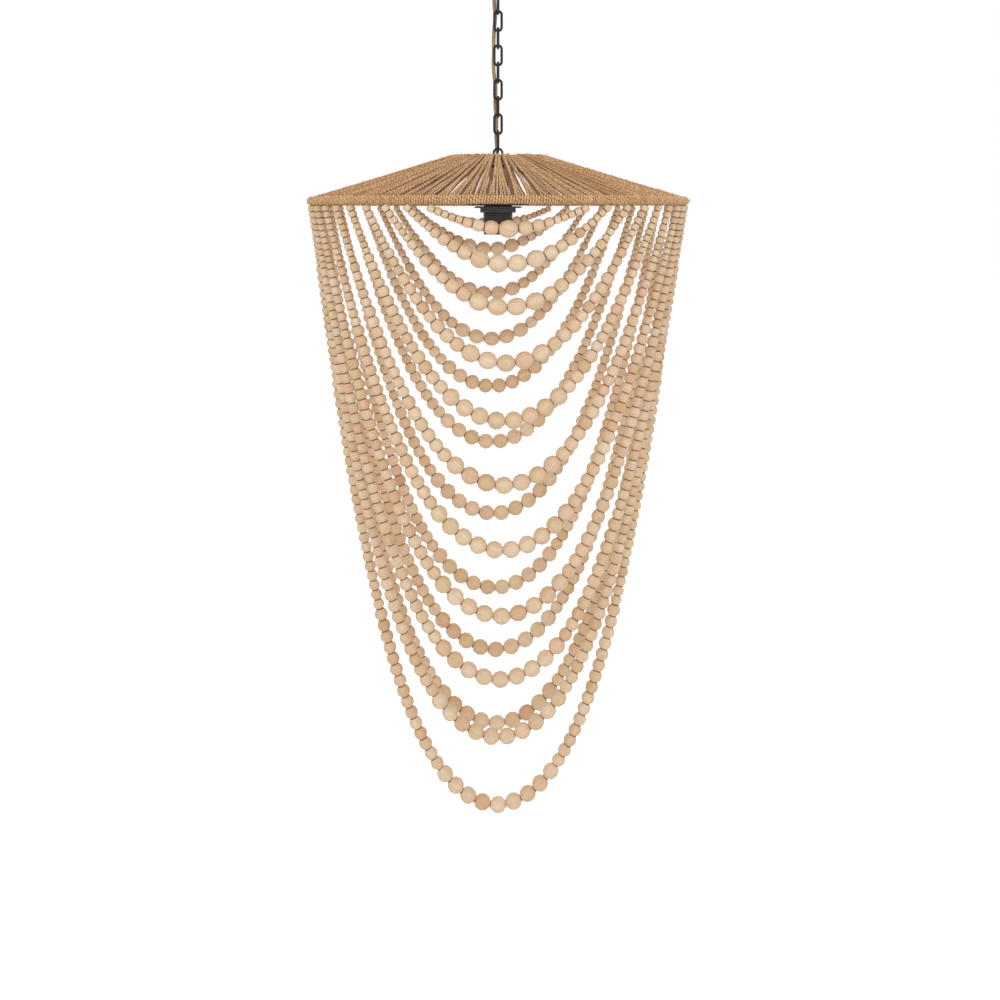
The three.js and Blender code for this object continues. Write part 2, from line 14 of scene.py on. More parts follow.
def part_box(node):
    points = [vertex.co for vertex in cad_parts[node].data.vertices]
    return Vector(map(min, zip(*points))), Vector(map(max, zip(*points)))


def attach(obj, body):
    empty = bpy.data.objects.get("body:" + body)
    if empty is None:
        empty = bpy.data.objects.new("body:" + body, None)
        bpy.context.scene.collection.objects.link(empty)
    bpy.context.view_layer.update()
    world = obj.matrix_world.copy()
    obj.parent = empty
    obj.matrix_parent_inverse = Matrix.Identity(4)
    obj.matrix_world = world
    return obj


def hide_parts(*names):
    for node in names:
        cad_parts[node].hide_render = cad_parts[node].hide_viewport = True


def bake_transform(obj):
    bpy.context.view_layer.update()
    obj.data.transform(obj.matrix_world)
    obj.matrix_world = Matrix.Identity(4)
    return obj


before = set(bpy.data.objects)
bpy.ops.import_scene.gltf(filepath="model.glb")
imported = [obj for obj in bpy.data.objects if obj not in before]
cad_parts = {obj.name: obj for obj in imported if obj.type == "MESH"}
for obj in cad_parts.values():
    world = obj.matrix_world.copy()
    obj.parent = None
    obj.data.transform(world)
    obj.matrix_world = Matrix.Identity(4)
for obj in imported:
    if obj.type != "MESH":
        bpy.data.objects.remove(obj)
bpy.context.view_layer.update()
mm = 0.001
full_turn = 2 * math.pi
quarter_turn = math.pi / 2
along_x = Vector((1, 0, 0))
along_y = Vector((0, 1, 0))
upwards = Vector((0, 0, 1))


def middle_of(node):
    low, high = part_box(node)
    return (low + high) / 2


def half_width_of(node):
    low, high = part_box(node)
    return (high.x - low.x) / 2


def linked(name, data):
    """An object of the scene with this mesh, camera or light."""
    made = bpy.data.objects.new(name, data)
    bpy.context.scene.collection.objects.link(made)
    return made


# %% [markdown]
# ## The camera
# The picture was taken level, from just below the height of the rim and a little to the lamp's left. The
# rim is a thin line there, so the cone is seen from the side and the front strands hang in front of the
# back ones. A level camera with its lens shifted down keeps the strands upright, which a camera tilted
# down wouldn't do.

# %% Camera
camera_distance = 1.904
camera_height = -0.4172
camera_turn = math.radians(3)
camera_lens = 43.2
camera_shift = (0.002, -0.288)

camera_data = bpy.data.cameras.new("camera")
camera_data.lens = camera_lens
camera_data.shift_x, camera_data.shift_y = camera_shift
camera = linked("camera", camera_data)
camera.location = (
    -camera_distance * math.sin(camera_turn), -camera_distance * math.cos(camera_turn), camera_height)
camera.rotation_euler = (quarter_turn, 0, -camera_turn)
bpy.context.scene.camera = camera
print("The camera stands", camera_distance, "m from the lamp's axis.")

# %% [markdown]
# ## Node trees written as sums
# Materials and Geometry Nodes are both trees of nodes. A Tree adds a node in one call and hands back one
# of its outputs as a Field. Fields can be added, multiplied and so on like numbers, and each such sign
# adds a Math node, so the lessons below read like formulas.


# %% Fields
class Field:
    """An output of a node, which can be used in sums."""

    def __init__(self, tree, socket):
        self.tree, self.socket = tree, socket

    def __add__(self, other):
        return self.tree.maths("ADD", self, other)

    def __radd__(self, other):
        return self.tree.maths("ADD", other, self)

    def __sub__(self, other):
        return self.tree.maths("SUBTRACT", self, other)

    def __rsub__(self, other):
        return self.tree.maths("SUBTRACT", other, self)

    def __mul__(self, other):
        return self.tree.maths("MULTIPLY", self, other)

    def __truediv__(self, other):
        return self.tree.maths("DIVIDE", self, other)

    def __rtruediv__(self, other):
        return self.tree.maths("DIVIDE", other, self)


# %% Trees
class Tree:
    """A tree of nodes. Values for a node's inputs are numbers, vectors, colours or Fields."""

    def __init__(self, nodes):
        self.nodes = nodes

    def feed(self, socket, value):
        """Links a Field to an input, or sets its value."""
        if isinstance(value, Field):
            self.nodes.links.new(value.socket, socket)
        else:
            socket.default_value = (*value, 1) if socket.type == "RGBA" else value

    def node(self, kind, values=None, **settings):
        made = self.nodes.nodes.new(kind)
        for name, value in settings.items():
            setattr(made, name, value)
        for socket, value in (values or {}).items():
            self.feed(made.inputs[socket], value)
        return made

    def add(self, kind, values=None, output=0, **settings):
        return Field(self, self.node(kind, values, **settings).outputs[output])

    def outputs(self, node):
        return {socket.name: Field(self, socket) for socket in node.outputs if socket.name}

    def maths(self, operation, *values):
        return self.add("ShaderNodeMath", dict(enumerate(values)), operation=operation)

    def vectors(self, operation, *values):
        output = "Value" if operation == "DOT_PRODUCT" else "Vector"
        return self.add("ShaderNodeVectorMath", dict(enumerate(values)), output, operation=operation)

    def scaled(self, vector, by):
        return self.add("ShaderNodeVectorMath", {0: vector, "Scale": by}, operation="SCALE")

    def place(self, x=0.0, y=0.0, z=0.0):
        return self.add("ShaderNodeCombineXYZ", {0: x, 1: y, 2: z})

    def give(self, results):
        """Ends a group with its named results."""
        for title in results:
            socket_type = SHAPE if title == "Geometry" else NUMBER
            self.nodes.interface.new_socket(title, in_out="OUTPUT", socket_type=socket_type)
        end = self.nodes.nodes.new("NodeGroupOutput")
        for title, result in results.items():
            self.feed(end.inputs[title], result)
        return self.nodes


# %% Groups
NUMBER = "NodeSocketFloat"
COUNT = "NodeSocketInt"
SHAPE = "NodeSocketGeometry"
SHAPES = "NodeSocketCollection"
MATERIAL = "NodeSocketMaterial"


def new_group(name, kind, inputs):
    """A group of nodes. Each of its named inputs has a number that it starts from, or a type of socket."""
    group = bpy.data.node_groups.new(name, kind)
    for title, start in inputs.items():
        number = COUNT if isinstance(start, int) else NUMBER
        socket_type = start if isinstance(start, str) else number
        socket = group.interface.new_socket(title, in_out="INPUT", socket_type=socket_type)
        if socket_type is not start:
            socket.default_value = start
    tree = Tree(group)
    return tree, tree.outputs(group.nodes.new("NodeGroupInput"))


# %% [markdown]
# ## Helpers for materials
# Noise, ramps and multiplied colours return in every material. A ramp gives a colour for each place on a
# scale from 0 to 1.

# %% Material helpers
white = (1, 1, 1)


def noise(tree, place, scale, detail=2.0, roughness=0.5, distortion=0.0):
    values = {"Vector": place, "Scale": scale, "Detail": detail, "Roughness": roughness}
    return tree.add("ShaderNodeTexNoise", {**values, "Distortion": distortion}, "Fac")


def attribute(tree, name, output="Fac"):
    return tree.add("ShaderNodeAttribute", output=output, attribute_name=name)


def ramp(value, *stops):
    """Stops are (place, (red, green, blue))."""
    made = value.tree.node("ShaderNodeValToRGB", {"Fac": value})
    elements = made.color_ramp.elements
    for _ in stops[2:]:
        elements.new(0.5)
    for element, (place, colour) in zip(elements, stops):
        element.position = place
        element.color = (*colour, 1)
    return Field(value.tree, made.outputs["Color"])


def multiplied(colour, tint, share=1.0):
    """A colour multiplied by another one, or by a share of it."""
    values = {0: share, 6: colour, 7: tint}
    return colour.tree.add("ShaderNodeMix", values, 2, data_type="RGBA", blend_type="MULTIPLY")


def new_material(name, roughness, metallic=0.0):
    material = bpy.data.materials.new(name)
    material.use_nodes = True
    shader = material.node_tree.nodes["Principled BSDF"]
    shader.inputs["Roughness"].default_value = roughness
    shader.inputs["Metallic"].default_value = metallic
    return material, Tree(material.node_tree), shader


def bump(shader, height, strength, distance):
    normal = height.tree.add("ShaderNodeBump", {"Height": height, "Strength": strength, "Distance": distance})
    height.tree.feed(shader.inputs["Normal"], normal)


# %% [markdown]
# ## Shared effects
# Some looks return on several materials. Jute, string and the flex are all twisted from thinner plies, so
# one group draws the plies of any cord from its UV map: U runs along the cord in metres and V once round
# it. A second group breaks up a colour or a roughness with noise, as hands, dust and age do.


# %% Shared shader groups
def make_ply_group():
    tree, given = new_group("plies of a cord", "ShaderNodeTree", {
        "Lay Length": 0.014, "Plies": 2.0, "Fibre Scale": 900.0, "Unevenness": 0.0})
    place = tree.add("ShaderNodeTexCoord", output="Object")
    uv = tree.outputs(tree.node("ShaderNodeSeparateXYZ", {0: tree.add("ShaderNodeTexCoord", output="UV")}))
    along, around = uv["X"], uv["Y"]
    # No cord is spun evenly: its plies come a little sooner here and a little later there
    drift = noise(tree, place, 24.0, 0.0) * given["Unevenness"]
    turns = along / given["Lay Length"] + around + drift
    wave = tree.maths("SINE", turns * given["Plies"] * math.pi)
    ridge = tree.maths("POWER", tree.maths("ABSOLUTE", wave), 0.55)
    # Fibres run with the plies, so the noise is stretched along them
    stretched = tree.place(along * 0.18, around * 0.012 - along * 0.9)
    return tree.give({
        "Ridge": ridge, "Fibres": noise(tree, stretched, given["Fibre Scale"], 3.0, 0.65),
        "Patches": noise(tree, place, 55.0), "Specks": noise(tree, place, 320.0, 2.0, 0.6)})


def make_breakup_group():
    tree, given = new_group("uneven finish", "ShaderNodeTree", {
        "Scale": 40.0, "Low": 0.35, "High": 0.6, "Grain Scale": 900.0})
    place = tree.add("ShaderNodeTexCoord", output="Object")
    patches = noise(tree, place, given["Scale"], 4.0)
    value = tree.add("ShaderNodeMapRange", {
        "Value": patches, "From Min": 0.3, "From Max": 0.7, "To Min": given["Low"], "To Max": given["High"]})
    return tree.give({"Value": value, "Patches": patches, "Grain": noise(tree, place, given["Grain Scale"])})


plies_of_a_cord = make_ply_group()
uneven_finish = make_breakup_group()
print("Shared groups:", plies_of_a_cord.name, "and", uneven_finish.name)

# %% [markdown]
# ## Jute and the other cords
# Jute is a coarse brown-gold fibre, spun in two plies. Its colour carries painted shade between the plies
# and a painted highlight on their backs, and it is blotched from one hand's width to the next. It has no
# gloss, only a faint sheen from its loose hairs.


# %% Materials of the cords
def cord_material(name, colours, lay, plies, depth, patch_tint, speck_shadow_share, unevenness=0.0):
    """The colours are those between the plies, as painted shade, on their sides, and on their backs, as a
    painted highlight.
    """
    material, tree, shader = new_material(name, 0.95)
    plied = tree.outputs(tree.node("ShaderNodeGroup", {
        "Lay Length": lay, "Plies": plies, "Unevenness": unevenness}, node_tree=plies_of_a_cord))
    # The colour follows the height of the plies, besides the bump: painted shade in the grooves and a painted
    # highlight on the backs
    height = plied["Ridge"] * 0.6 + plied["Fibres"] * 0.4
    colour = ramp(height, *zip((0.22, 0.55, 0.85), colours))
    colour = multiplied(colour, ramp(plied["Patches"], (0.35, patch_tint), (0.65, white)))
    # Painted shadows of the tufts of loose fibre darken the cord in specks of a few millimetres
    speck_shadows = ramp(plied["Specks"], (0.32, (0.42, 0.31, 0.22)), (0.45, (0.88, 0.85, 0.82)), (0.58, white))
    colour = multiplied(colour, speck_shadows, speck_shadow_share)
    # Some cords are darker than their neighbours, and painted shade darkens the hollows between the cords and
    # their undersides. These are attributes, and a piece without them stays as it is.
    tint = ramp(attribute(tree, "tint"), (0.0, white), (0.6, (0.93, 0.89, 0.85)), (1.0, (0.66, 0.55, 0.45)))
    shade = ramp(attribute(tree, "hollow") * 0.5, (0.14, white), (0.34, (0.68, 0.56, 0.44)),
                 (0.5, (0.25, 0.145, 0.07)), (0.9, (0.6, 0.48, 0.36)))
    tree.feed(shader.inputs["Base Color"], multiplied(colour, multiplied(tint, shade)))
    bump(shader, height, 0.9, depth)
    shader.inputs["Sheen Weight"].default_value = 0.15
    shader.inputs["Sheen Roughness"].default_value = 0.6
    return material


# Each cord's three colours are painted shade between the plies, the sides, and a painted highlight on the
# backs
jute = cord_material("jute", ((0.20, 0.09, 0.030), (0.62, 0.34, 0.142), (0.93, 0.60, 0.295)),
                     14 * mm, 2.0, 0.9 * mm, (0.82, 0.76, 0.66), 1.0, 2.0)
rim_jute = cord_material("rim jute", ((0.27, 0.14, 0.05), (0.67, 0.40, 0.18), (0.92, 0.63, 0.345)),
                         9 * mm, 2.0, 0.6 * mm, (0.86, 0.82, 0.74), 0.6, 1.0)
flex_cotton = cord_material("flex cotton", ((0.12, 0.06, 0.03), (0.31, 0.195, 0.115), (0.48, 0.33, 0.205)),
                            12 * mm, 6.0, 0.4 * mm, (0.80, 0.78, 0.76), 0.2)
twine = cord_material("twine", ((0.22, 0.14, 0.08), (0.50, 0.36, 0.22), (0.66, 0.50, 0.34)),
                      5 * mm, 2.0, 0.3 * mm, (0.85, 0.85, 0.85), 0.2)
print("Cord materials:", ", ".join(material.name for material in (jute, rim_jute, flex_cotton, twine)))

# %% [markdown]
# ## Bead wood
# The beads are turned from pale, unfinished wood. Each has its own tone, from cream to tan, its own
# blush, from pink to yellow, and its own grain, for it was cut from another place in the plank. Each bead
# mesh carries these as attributes, and a fourth one, the way to its nearest drilled end.


# %% Material of the beads
def wood_material():
    material, tree, shader = new_material("bead wood", 0.62)
    tone = ramp(attribute(tree, "tone"), (0.0, (0.63, 0.402, 0.232)), (0.3, (0.73, 0.52, 0.33)),
                (0.65, (0.79, 0.603, 0.422)), (1.0, (0.84, 0.677, 0.505)))
    blush = ramp(attribute(tree, "blush"), (0.0, (1, 0.93, 0.91)), (0.5, white), (1.0, (0.97, 0.99, 0.90)))
    # The grain is long and thin, so the plank's noise is stretched along one way
    plank = attribute(tree, "plank", "Vector")
    grain = tree.add("ShaderNodeMapping", {"Vector": plank, "Scale": (1.0, 1.0, 0.16)})
    rings = noise(tree, grain, 150.0, 3.0, distortion=0.6)
    pores = noise(tree, grain, 1400.0)
    colour = multiplied(tone, blush)
    colour = multiplied(colour, ramp(rings, (0.3, (0.86, 0.80, 0.72)), (0.62, white)), 0.75)
    colour = multiplied(colour, ramp(pores, (0.34, (0.70, 0.58, 0.46)), (0.46, white)), 0.5)
    # The drilled ends and the edges round them are darkened as painted shade of the narrow gap between
    # neighbouring beads. The attribute counts millimetres.
    ends = ramp(attribute(tree, "to_end"), (0.4, (0.25, 0.14, 0.065)), (0.62, (0.74, 0.62, 0.48)),
                (0.85, white))
    tree.feed(shader.inputs["Base Color"], multiplied(colour, ends))
    rough = tree.add("ShaderNodeMapRange", {"Value": rings, "To Min": 0.72, "To Max": 0.55})
    tree.feed(shader.inputs["Roughness"], rough)
    bump(shader, pores, 0.12, 0.3 * mm)
    return material


bead_wood = wood_material()
print("The beads are of", bead_wood.name)

# %% [markdown]
# ## Metals and plastic
# The chain, frame and fittings are steel under a thin black paint with a brownish cast. The paint is
# uneven, and so is its gloss. The strap and threaded tube in the cup are zinc-plated, the lampholder is
# black plastic, and its contacts are brass.


# %% Materials of the metals and the plastic
def uneven_material(name, colours, roughness, metallic, scale, grain_scale, grain_depth):
    material, tree, shader = new_material(name, roughness[0], metallic)
    uneven = tree.outputs(tree.node("ShaderNodeGroup", {
        "Scale": scale, "Low": roughness[0], "High": roughness[1], "Grain Scale": grain_scale},
        node_tree=uneven_finish))
    tree.feed(shader.inputs["Base Color"], ramp(uneven["Patches"], (0.35, colours[0]), (0.65, colours[1])))
    tree.feed(shader.inputs["Roughness"], uneven["Value"])
    bump(shader, uneven["Grain"], 0.35, grain_depth)
    return material


black_steel = uneven_material("black steel", ((0.018, 0.015, 0.014), (0.036, 0.030, 0.027)),
                              (0.36, 0.58), 0.55, 90.0, 1200.0, 0.15 * mm)
zinc_steel = uneven_material("zinc steel", ((0.42, 0.43, 0.45), (0.56, 0.56, 0.55)),
                             (0.28, 0.5), 1.0, 60.0, 900.0, 0.05 * mm)
black_plastic = uneven_material("black plastic", ((0.022, 0.021, 0.021), (0.034, 0.032, 0.031)),
                                (0.42, 0.6), 0.0, 120.0, 2200.0, 0.08 * mm)
brass = uneven_material("brass", ((0.60, 0.42, 0.17), (0.76, 0.58, 0.28)),
                        (0.22, 0.42), 1.0, 80.0, 900.0, 0.04 * mm)
hard_materials = (black_steel, zinc_steel, black_plastic, brass)
print("Hard materials:", ", ".join(material.name for material in hard_materials))

# %% [markdown]
# ## Small helpers for meshes
# Turned pieces are a profile spun round the axis, and bent wires are a round section carried along a
# path. Both are first a skin, that is points, faces and the UVs of each face's corners, so that a pattern
# can follow the surface. A skin becomes a piece with its material, and a piece is dressed: it rides on its
# body, and the CAD nodes that it takes the place of are hidden.


def mesh_piece(name, skin, material):
    points, faces, uvs = skin
    mesh = bpy.data.meshes.new(name)
    mesh.from_pydata([tuple(p) for p in points], [], faces)
    mesh.materials.append(material)
    mesh.polygons.foreach_set("use_smooth", [True] * len(faces))
    layer = mesh.uv_layers.new(name="UVMap")
    layer.data.foreach_set("uv", [n for face in uvs for uv in face for n in uv])
    return linked(name, mesh)


def dress(piece, body, *nodes):
    """Lets a finished piece ride on its body and hides the CAD nodes that it takes the place of."""
    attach(piece, body)
    if nodes:
        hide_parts(*nodes)
    print(piece.name, "has", len(piece.data.polygons), "faces.")


# %% Skins through rings
def sweep(rings, closed_along, lengths):
    """A skin through rings of points, capped at both ends unless it is closed along."""
    sides, count = len(rings[0]), len(rings)
    points = [p for ring in rings for p in ring]
    faces, uvs = [], []
    for i in range(count if closed_along else count - 1):
        j = (i + 1) % count
        for k in range(sides):
            m = (k + 1) % sides
            faces.append((i * sides + k, i * sides + m, j * sides + m, j * sides + k))
            low, high = k / sides, (k + 1) / sides
            uvs.append([(lengths[i], low), (lengths[i], high), (lengths[i + 1], high), (lengths[i + 1], low)])
    if not closed_along:
        first, last = range(sides), range((count - 1) * sides, count * sides)
        faces += [tuple(first)[::-1], tuple(last)]
        uvs += [[(0.0, 0.0)] * sides] * 2
    return points, faces, uvs


def joined(*parts):
    points, faces, uvs = [], [], []
    for more_points, more_faces, more_uvs in parts:
        start = len(points)
        points += more_points
        faces += [tuple(start + i for i in face) for face in more_faces]
        uvs += more_uvs
    return points, faces, uvs


# %% Wires along a path
def rings_along(path, radius, sides, closed=False):
    """Rings of points round a path, each turned as little as possible from the last, and their lengths."""
    count = len(path)
    steps = []
    for i in range(count):
        before = path[i - 1] if closed or i else path[i]
        after = path[(i + 1) % count] if closed or i < count - 1 else path[i]
        steps.append((after - before).normalized())
    side = steps[0].orthogonal().normalized()
    rings, lengths = [], [0.0]
    for i, (centre, along) in enumerate(zip(path, steps)):
        side = (side - along * side.dot(along)).normalized()
        up = along.cross(side)
        rings.append([
            centre + radius * (side * math.cos(k * full_turn / sides) + up * math.sin(k * full_turn / sides))
            for k in range(sides)])
        lengths.append(lengths[-1] + (path[(i + 1) % count] - centre).length)
    return rings, lengths


def wire(path, radius, sides=10, closed=False):
    rings, lengths = rings_along(path, radius, sides, closed)
    return sweep(rings, closed, lengths)


def ring_wire(centre, wide, radius, segments, sides, first=along_x, second=along_y):
    angles = [i * full_turn / segments for i in range(segments)]
    path = [centre + wide * (first * math.cos(angle) + second * math.sin(angle)) for angle in angles]
    return wire(path, radius, sides, closed=True)


# %% Skins of turned pieces
def turned(profile, segments, closed_profile=False):
    """A profile of (radius, height) spun round the Z axis. A point on the axis becomes a pole. A third
    value is the depth of upright grooves there, four segments apart."""
    points, faces, uvs, rows = [], [], [], []
    for radius, height, *groove in profile:
        if radius < 1e-7:
            rows.append([len(points)] * segments)
            points.append(Vector((0, 0, height)))
            continue
        rows.append([len(points) + k for k in range(segments)])
        for k in range(segments):
            reach = radius - (groove[0] if groove and k % 4 > 1 else 0)
            angle = k * full_turn / segments
            points.append(Vector((reach * math.cos(angle), reach * math.sin(angle), height)))
    spans = list(zip(rows, rows[1:]))
    if closed_profile:
        spans.append((rows[-1], rows[0]))
    for i, (low, high) in enumerate(spans):
        for k in range(segments):
            m = (k + 1) % segments
            corners = [low[k], low[m], high[m], high[k]]
            face = [c for n, c in enumerate(corners) if c not in corners[:n]]
            if len(face) > 2:
                faces.append(tuple(face))
                uvs.append([(k / segments, float(i))] * len(face))
    return points, faces, uvs


def rounded(profile, radius, steps=3):
    """Rounds the inner corners of an open profile, each by the radius or by what fits."""
    flat = [Vector(spot) for spot in profile]
    made = [flat[0]]
    for before, corner, after in zip(flat, flat[1:], flat[2:]):
        cut = min(radius, (corner - before).length / 2.2, (after - corner).length / 2.2)
        start = corner + (before - corner).normalized() * cut
        end = corner + (after - corner).normalized() * cut
        for i in range(steps + 1):
            t = i / steps
            made.append(start * (1 - t) ** 2 + corner * 2 * t * (1 - t) + end * t * t)
    made.append(flat[-1])
    return [(p.x, p.y) for p in made]


def reshaped(skin, change):
    points, faces, uvs = skin
    return [change(p) for p in points], faces, uvs


# %% [markdown]
# ## The supply flex
# A fabric-covered cable climbs beside the chain to the ceiling. It is softer than the chain is straight,
# so it wanders to and fro behind it. Its route is a list of given points, the same as in the CAD source,
# and a smooth curve through them gives the cable its length. It goes into a small bushing at each end.

# %% Supply flex
flex_diameter = 6 * mm
flex_points = [
    (-6, 5.6, -34.7), (-6, 5.6, -47), (-6.2, 6.2, -62), (-5.8, 6.8, -80), (-5, 8.2, -93), (-4, 9.2, -105),
    (-4.8, 8.2, -118), (-6, 6.8, -131), (-6.6, 6.2, -146), (-6.4, 6.2, -161), (-6.9, 6.2, -176),
    (-6.7, 6.8, -191), (-5.2, 8.2, -204), (-3.4, 9.4, -216), (-3.4, 9.8, -228), (-4, 10.2, -241),
    (-3.2, 11, -256), (-1.8, 11.2, -271), (-2, 11.6, -285), (-2.2, 12, -297), (-1.6, 12, -308),
    (-0.9, 10.8, -318.5), (-0.6, 9.3, -326), (-0.6, 9.3, -329.95),
]


def smooth_path(points, steps):
    """A centripetal curve through the points, as the CAD source lays it."""
    ends = [points[0] * 2 - points[1], *points, points[-1] * 2 - points[-2]]
    path = []
    for a, b, c, d in zip(ends, ends[1:], ends[2:], ends[3:]):
        first, second, third = ((q - p).length ** 0.5 for p, q in ((a, b), (b, c), (c, d)))
        start = ((b - a) / first - (c - a) / (first + second) + (c - b) / second) * second
        finish = ((c - b) / second - (d - b) / (second + third) + (d - c) / third) * second
        bend = 2 * (b - c) + start + finish
        ease = 3 * (c - b) - 2 * start - finish
        for i in range(steps):
            t = i / steps
            path.append(bend * t ** 3 + ease * t ** 2 + start * t + b)
    path.append(points[-1])
    return path


flex_path = smooth_path([Vector(p) * mm for p in flex_points], 5)
flex_rings, flex_lengths = rings_along(flex_path, flex_diameter / 2, 14)
last_ring = len(flex_path) - 1
print("The flex is", round(flex_lengths[last_ring] / mm, 1), "mm long.")

# %% [markdown]
# The four upper joints all bend the flex, and both its ends stay in their bushings. So one unbroken tube
# is cut into five stretches that follow one another without a gap. Four of them lie across a joint and
# ride on no body, and the fifth rides with the chain. The short ones are a little over six diameters
# long.

# %% Stretches of the flex
least_stretch = 6.2 * flex_diameter


def ring_at(length):
    """The first ring that is at least this far down the flex."""
    return next(i for i, far in enumerate(flex_lengths) if far >= length)


first_cut = ring_at(least_stretch)
second_cut = ring_at(flex_lengths[first_cut] + least_stretch)
fourth_cut = ring_at(flex_lengths[last_ring] - least_stretch) - 1
third_cut = ring_at(flex_lengths[fourth_cut] - least_stretch) - 1
stretches = [
    ("flex_at_ceiling", 0, first_cut, "ceiling_fitting", "first_link"),
    ("flex_at_first_link", first_cut, second_cut, "first_link", "chain"),
    ("flex_along_chain", second_cut, third_cut, "chain", "chain"),
    ("flex_at_last_link", third_cut, fourth_cut, "chain", "last_link"),
    ("flex_at_shade", fourth_cut, last_ring, "last_link", "shade"),
]
for name, first, last, above, below in stretches:
    path, lengths = flex_path[first:last + 1], flex_lengths[first:last + 1]
    stretch = mesh_piece(name, sweep(flex_rings[first:last + 1], False, lengths), flex_cotton)
    for face in stretch.data.polygons:
        face.use_smooth = len(face.vertices) == 4
    if above == below:
        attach(stretch, above)
    else:
        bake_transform(stretch)
    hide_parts("supply_flex")
    lengths[-1] - lengths[0]
    print(name, "is", round((lengths[-1] - lengths[0]) / mm, 1), "mm long.")

# %% Bushings
bushing_height = 3.2 * mm
bushing_foot = 4.6 * mm
bushing_lip = 3.5 * mm
foot_height = 0.8 * mm
bushing_play = 0.15 * mm
bushing_sunk = 0.35 * mm


def bushing(name, end, up, body):
    """A tapered rubber bushing round the flex, standing on a collar's face."""
    inner = flex_diameter / 2 + bushing_play
    profile = rounded([
        (inner, 0), (bushing_foot, 0), (bushing_foot, foot_height), (bushing_lip, bushing_height),
        (inner, bushing_height)], 0.5 * mm)
    centre = end - upwards * up * bushing_sunk
    points, faces, uvs = reshaped(turned(profile, 24, True), lambda p: Vector((p.x, p.y, p.z * up)) + centre)
    if up < 0:
        faces = [face[::-1] for face in faces]
    dress(mesh_piece(name, (points, faces, uvs), black_plastic), body)


bushing("upper_bushing", flex_path[0], -1, "ceiling_fitting")
bushing("lower_bushing", flex_path[-1], 1, "shade")

# %% [markdown]
# ## The chain
# Ten oval links are bent from 4 mm wire and welded shut, each turned a quarter against the next. What
# repeats is made by Geometry Nodes: a rectangle with fully rounded corners is the path of one link, a
# small circle is its section, and a line of points carries the copies. The tree is used three times,
# because the links move with three different bodies.


# %% Running a tree
def run_tree(name, tree, values, material, start=None):
    """Runs a tree on a mesh or on nothing, and returns its result as a plain mesh object."""
    source = linked(name + " source", start or bpy.data.meshes.new(name + " start"))
    modifier = source.modifiers.new("shape", "NODES")
    modifier.node_group = tree
    identifiers = {item.name: item.identifier for item in tree.interface.items_tree}
    for title, value in {**values, "Material": material}.items():
        modifier[identifiers[title]] = value
    mesh = bpy.data.meshes.new_from_object(source.evaluated_get(bpy.context.evaluated_depsgraph_get()))
    mesh.name = name
    bpy.data.objects.remove(source)
    return linked(name, mesh)


# %% Helpers for trees of shapes
def new_shape_tree(name, inputs):
    """Besides its own inputs, such a tree takes the shape that it starts from and the material."""
    return new_group(name, "GeometryNodeTree", {"Geometry": SHAPE, **inputs, "Material": MATERIAL})


def finished(shape, given):
    """Ends a tree: real copies, smooth faces and the material."""
    tree = shape.tree
    real = tree.add("GeometryNodeRealizeInstances", {0: shape})
    smooth = tree.add("GeometryNodeSetShadeSmooth", {"Geometry": real, "Shade Smooth": True})
    coated = tree.add("GeometryNodeSetMaterial", {"Geometry": smooth, "Material": given["Material"]})
    return tree.give({"Geometry": coated})


def stored(shape, name, value, data_type="FLOAT", domain="POINT"):
    values = {"Geometry": shape, "Name": name, "Value": value}
    return shape.tree.add("GeometryNodeStoreNamedAttribute", values, data_type=data_type, domain=domain)


def named(tree, name, data_type="FLOAT"):
    return tree.add("GeometryNodeInputNamedAttribute", {"Name": name}, "Attribute", data_type=data_type)


def chance(index, low, high, seed):
    """A number between low and high, another one for each index."""
    values = {2: low, 3: high, "ID": index, "Seed": seed}
    return index.tree.add("FunctionNodeRandomValue", values, 1, data_type="FLOAT")


# %% Chain links
link_length = (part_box("link_01")[1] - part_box("link_01")[0]).z
link_width = 2 * half_width_of("link_01")
link_wire = 2 * mm
link_pitch = middle_of("link_01").z - middle_of("link_02").z
nearly_half = 0.4999
weld_swell = 1.12


def make_link_tree():
    tree, given = new_shape_tree("oval links", {
        "Links": 8, "Length": link_length, "Width": link_width, "Wire Radius": link_wire, "Pitch": link_pitch,
        "First Height": 0.0, "First Turn": 0.0})
    thick = given["Wire Radius"] * 2.0
    inner_width = given["Width"] - thick
    oblong = tree.add("GeometryNodeCurvePrimitiveQuadrilateral", {
        "Width": inner_width, "Height": given["Length"] - thick})
    oval = tree.add("GeometryNodeFilletCurve", {
        "Curve": oblong, "Count": 10, "Radius": inner_width * nearly_half}, mode="POLY")
    section = tree.add("GeometryNodeCurvePrimitiveCircle", {"Resolution": 12, "Radius": given["Wire Radius"]})
    bent = tree.add("GeometryNodeCurveToMesh", {"Curve": oval, "Profile Curve": section})
    upright = tree.add("GeometryNodeTransform", {"Geometry": bent, "Rotation": (quarter_turn, 0, 0)})
    # A low weld bead lies round one straight side of each link
    size = given["Wire Radius"] * weld_swell
    ball = tree.add("GeometryNodeMeshUVSphere", {"Segments": 12, "Rings": 8, "Radius": 1.0})
    welded = tree.add("GeometryNodeTransform", {
        "Geometry": ball, "Translation": tree.place(inner_width * 0.5),
        "Scale": tree.place(size, size, size)})
    link = tree.node("GeometryNodeJoinGeometry", {0: upright})
    tree.feed(link.inputs[0], welded)
    row = tree.add("GeometryNodeMeshLine", {
        "Count": given["Links"], "Start Location": tree.place(z=given["First Height"]),
        "Offset": tree.place(z=given["Pitch"] * -1.0)})
    turn = given["First Turn"] + tree.add("GeometryNodeInputIndex") * quarter_turn
    copies = tree.add("GeometryNodeInstanceOnPoints", {
        "Points": row, "Instance": Field(tree, link.outputs[0]), "Rotation": tree.place(z=turn)})
    return finished(copies, given)


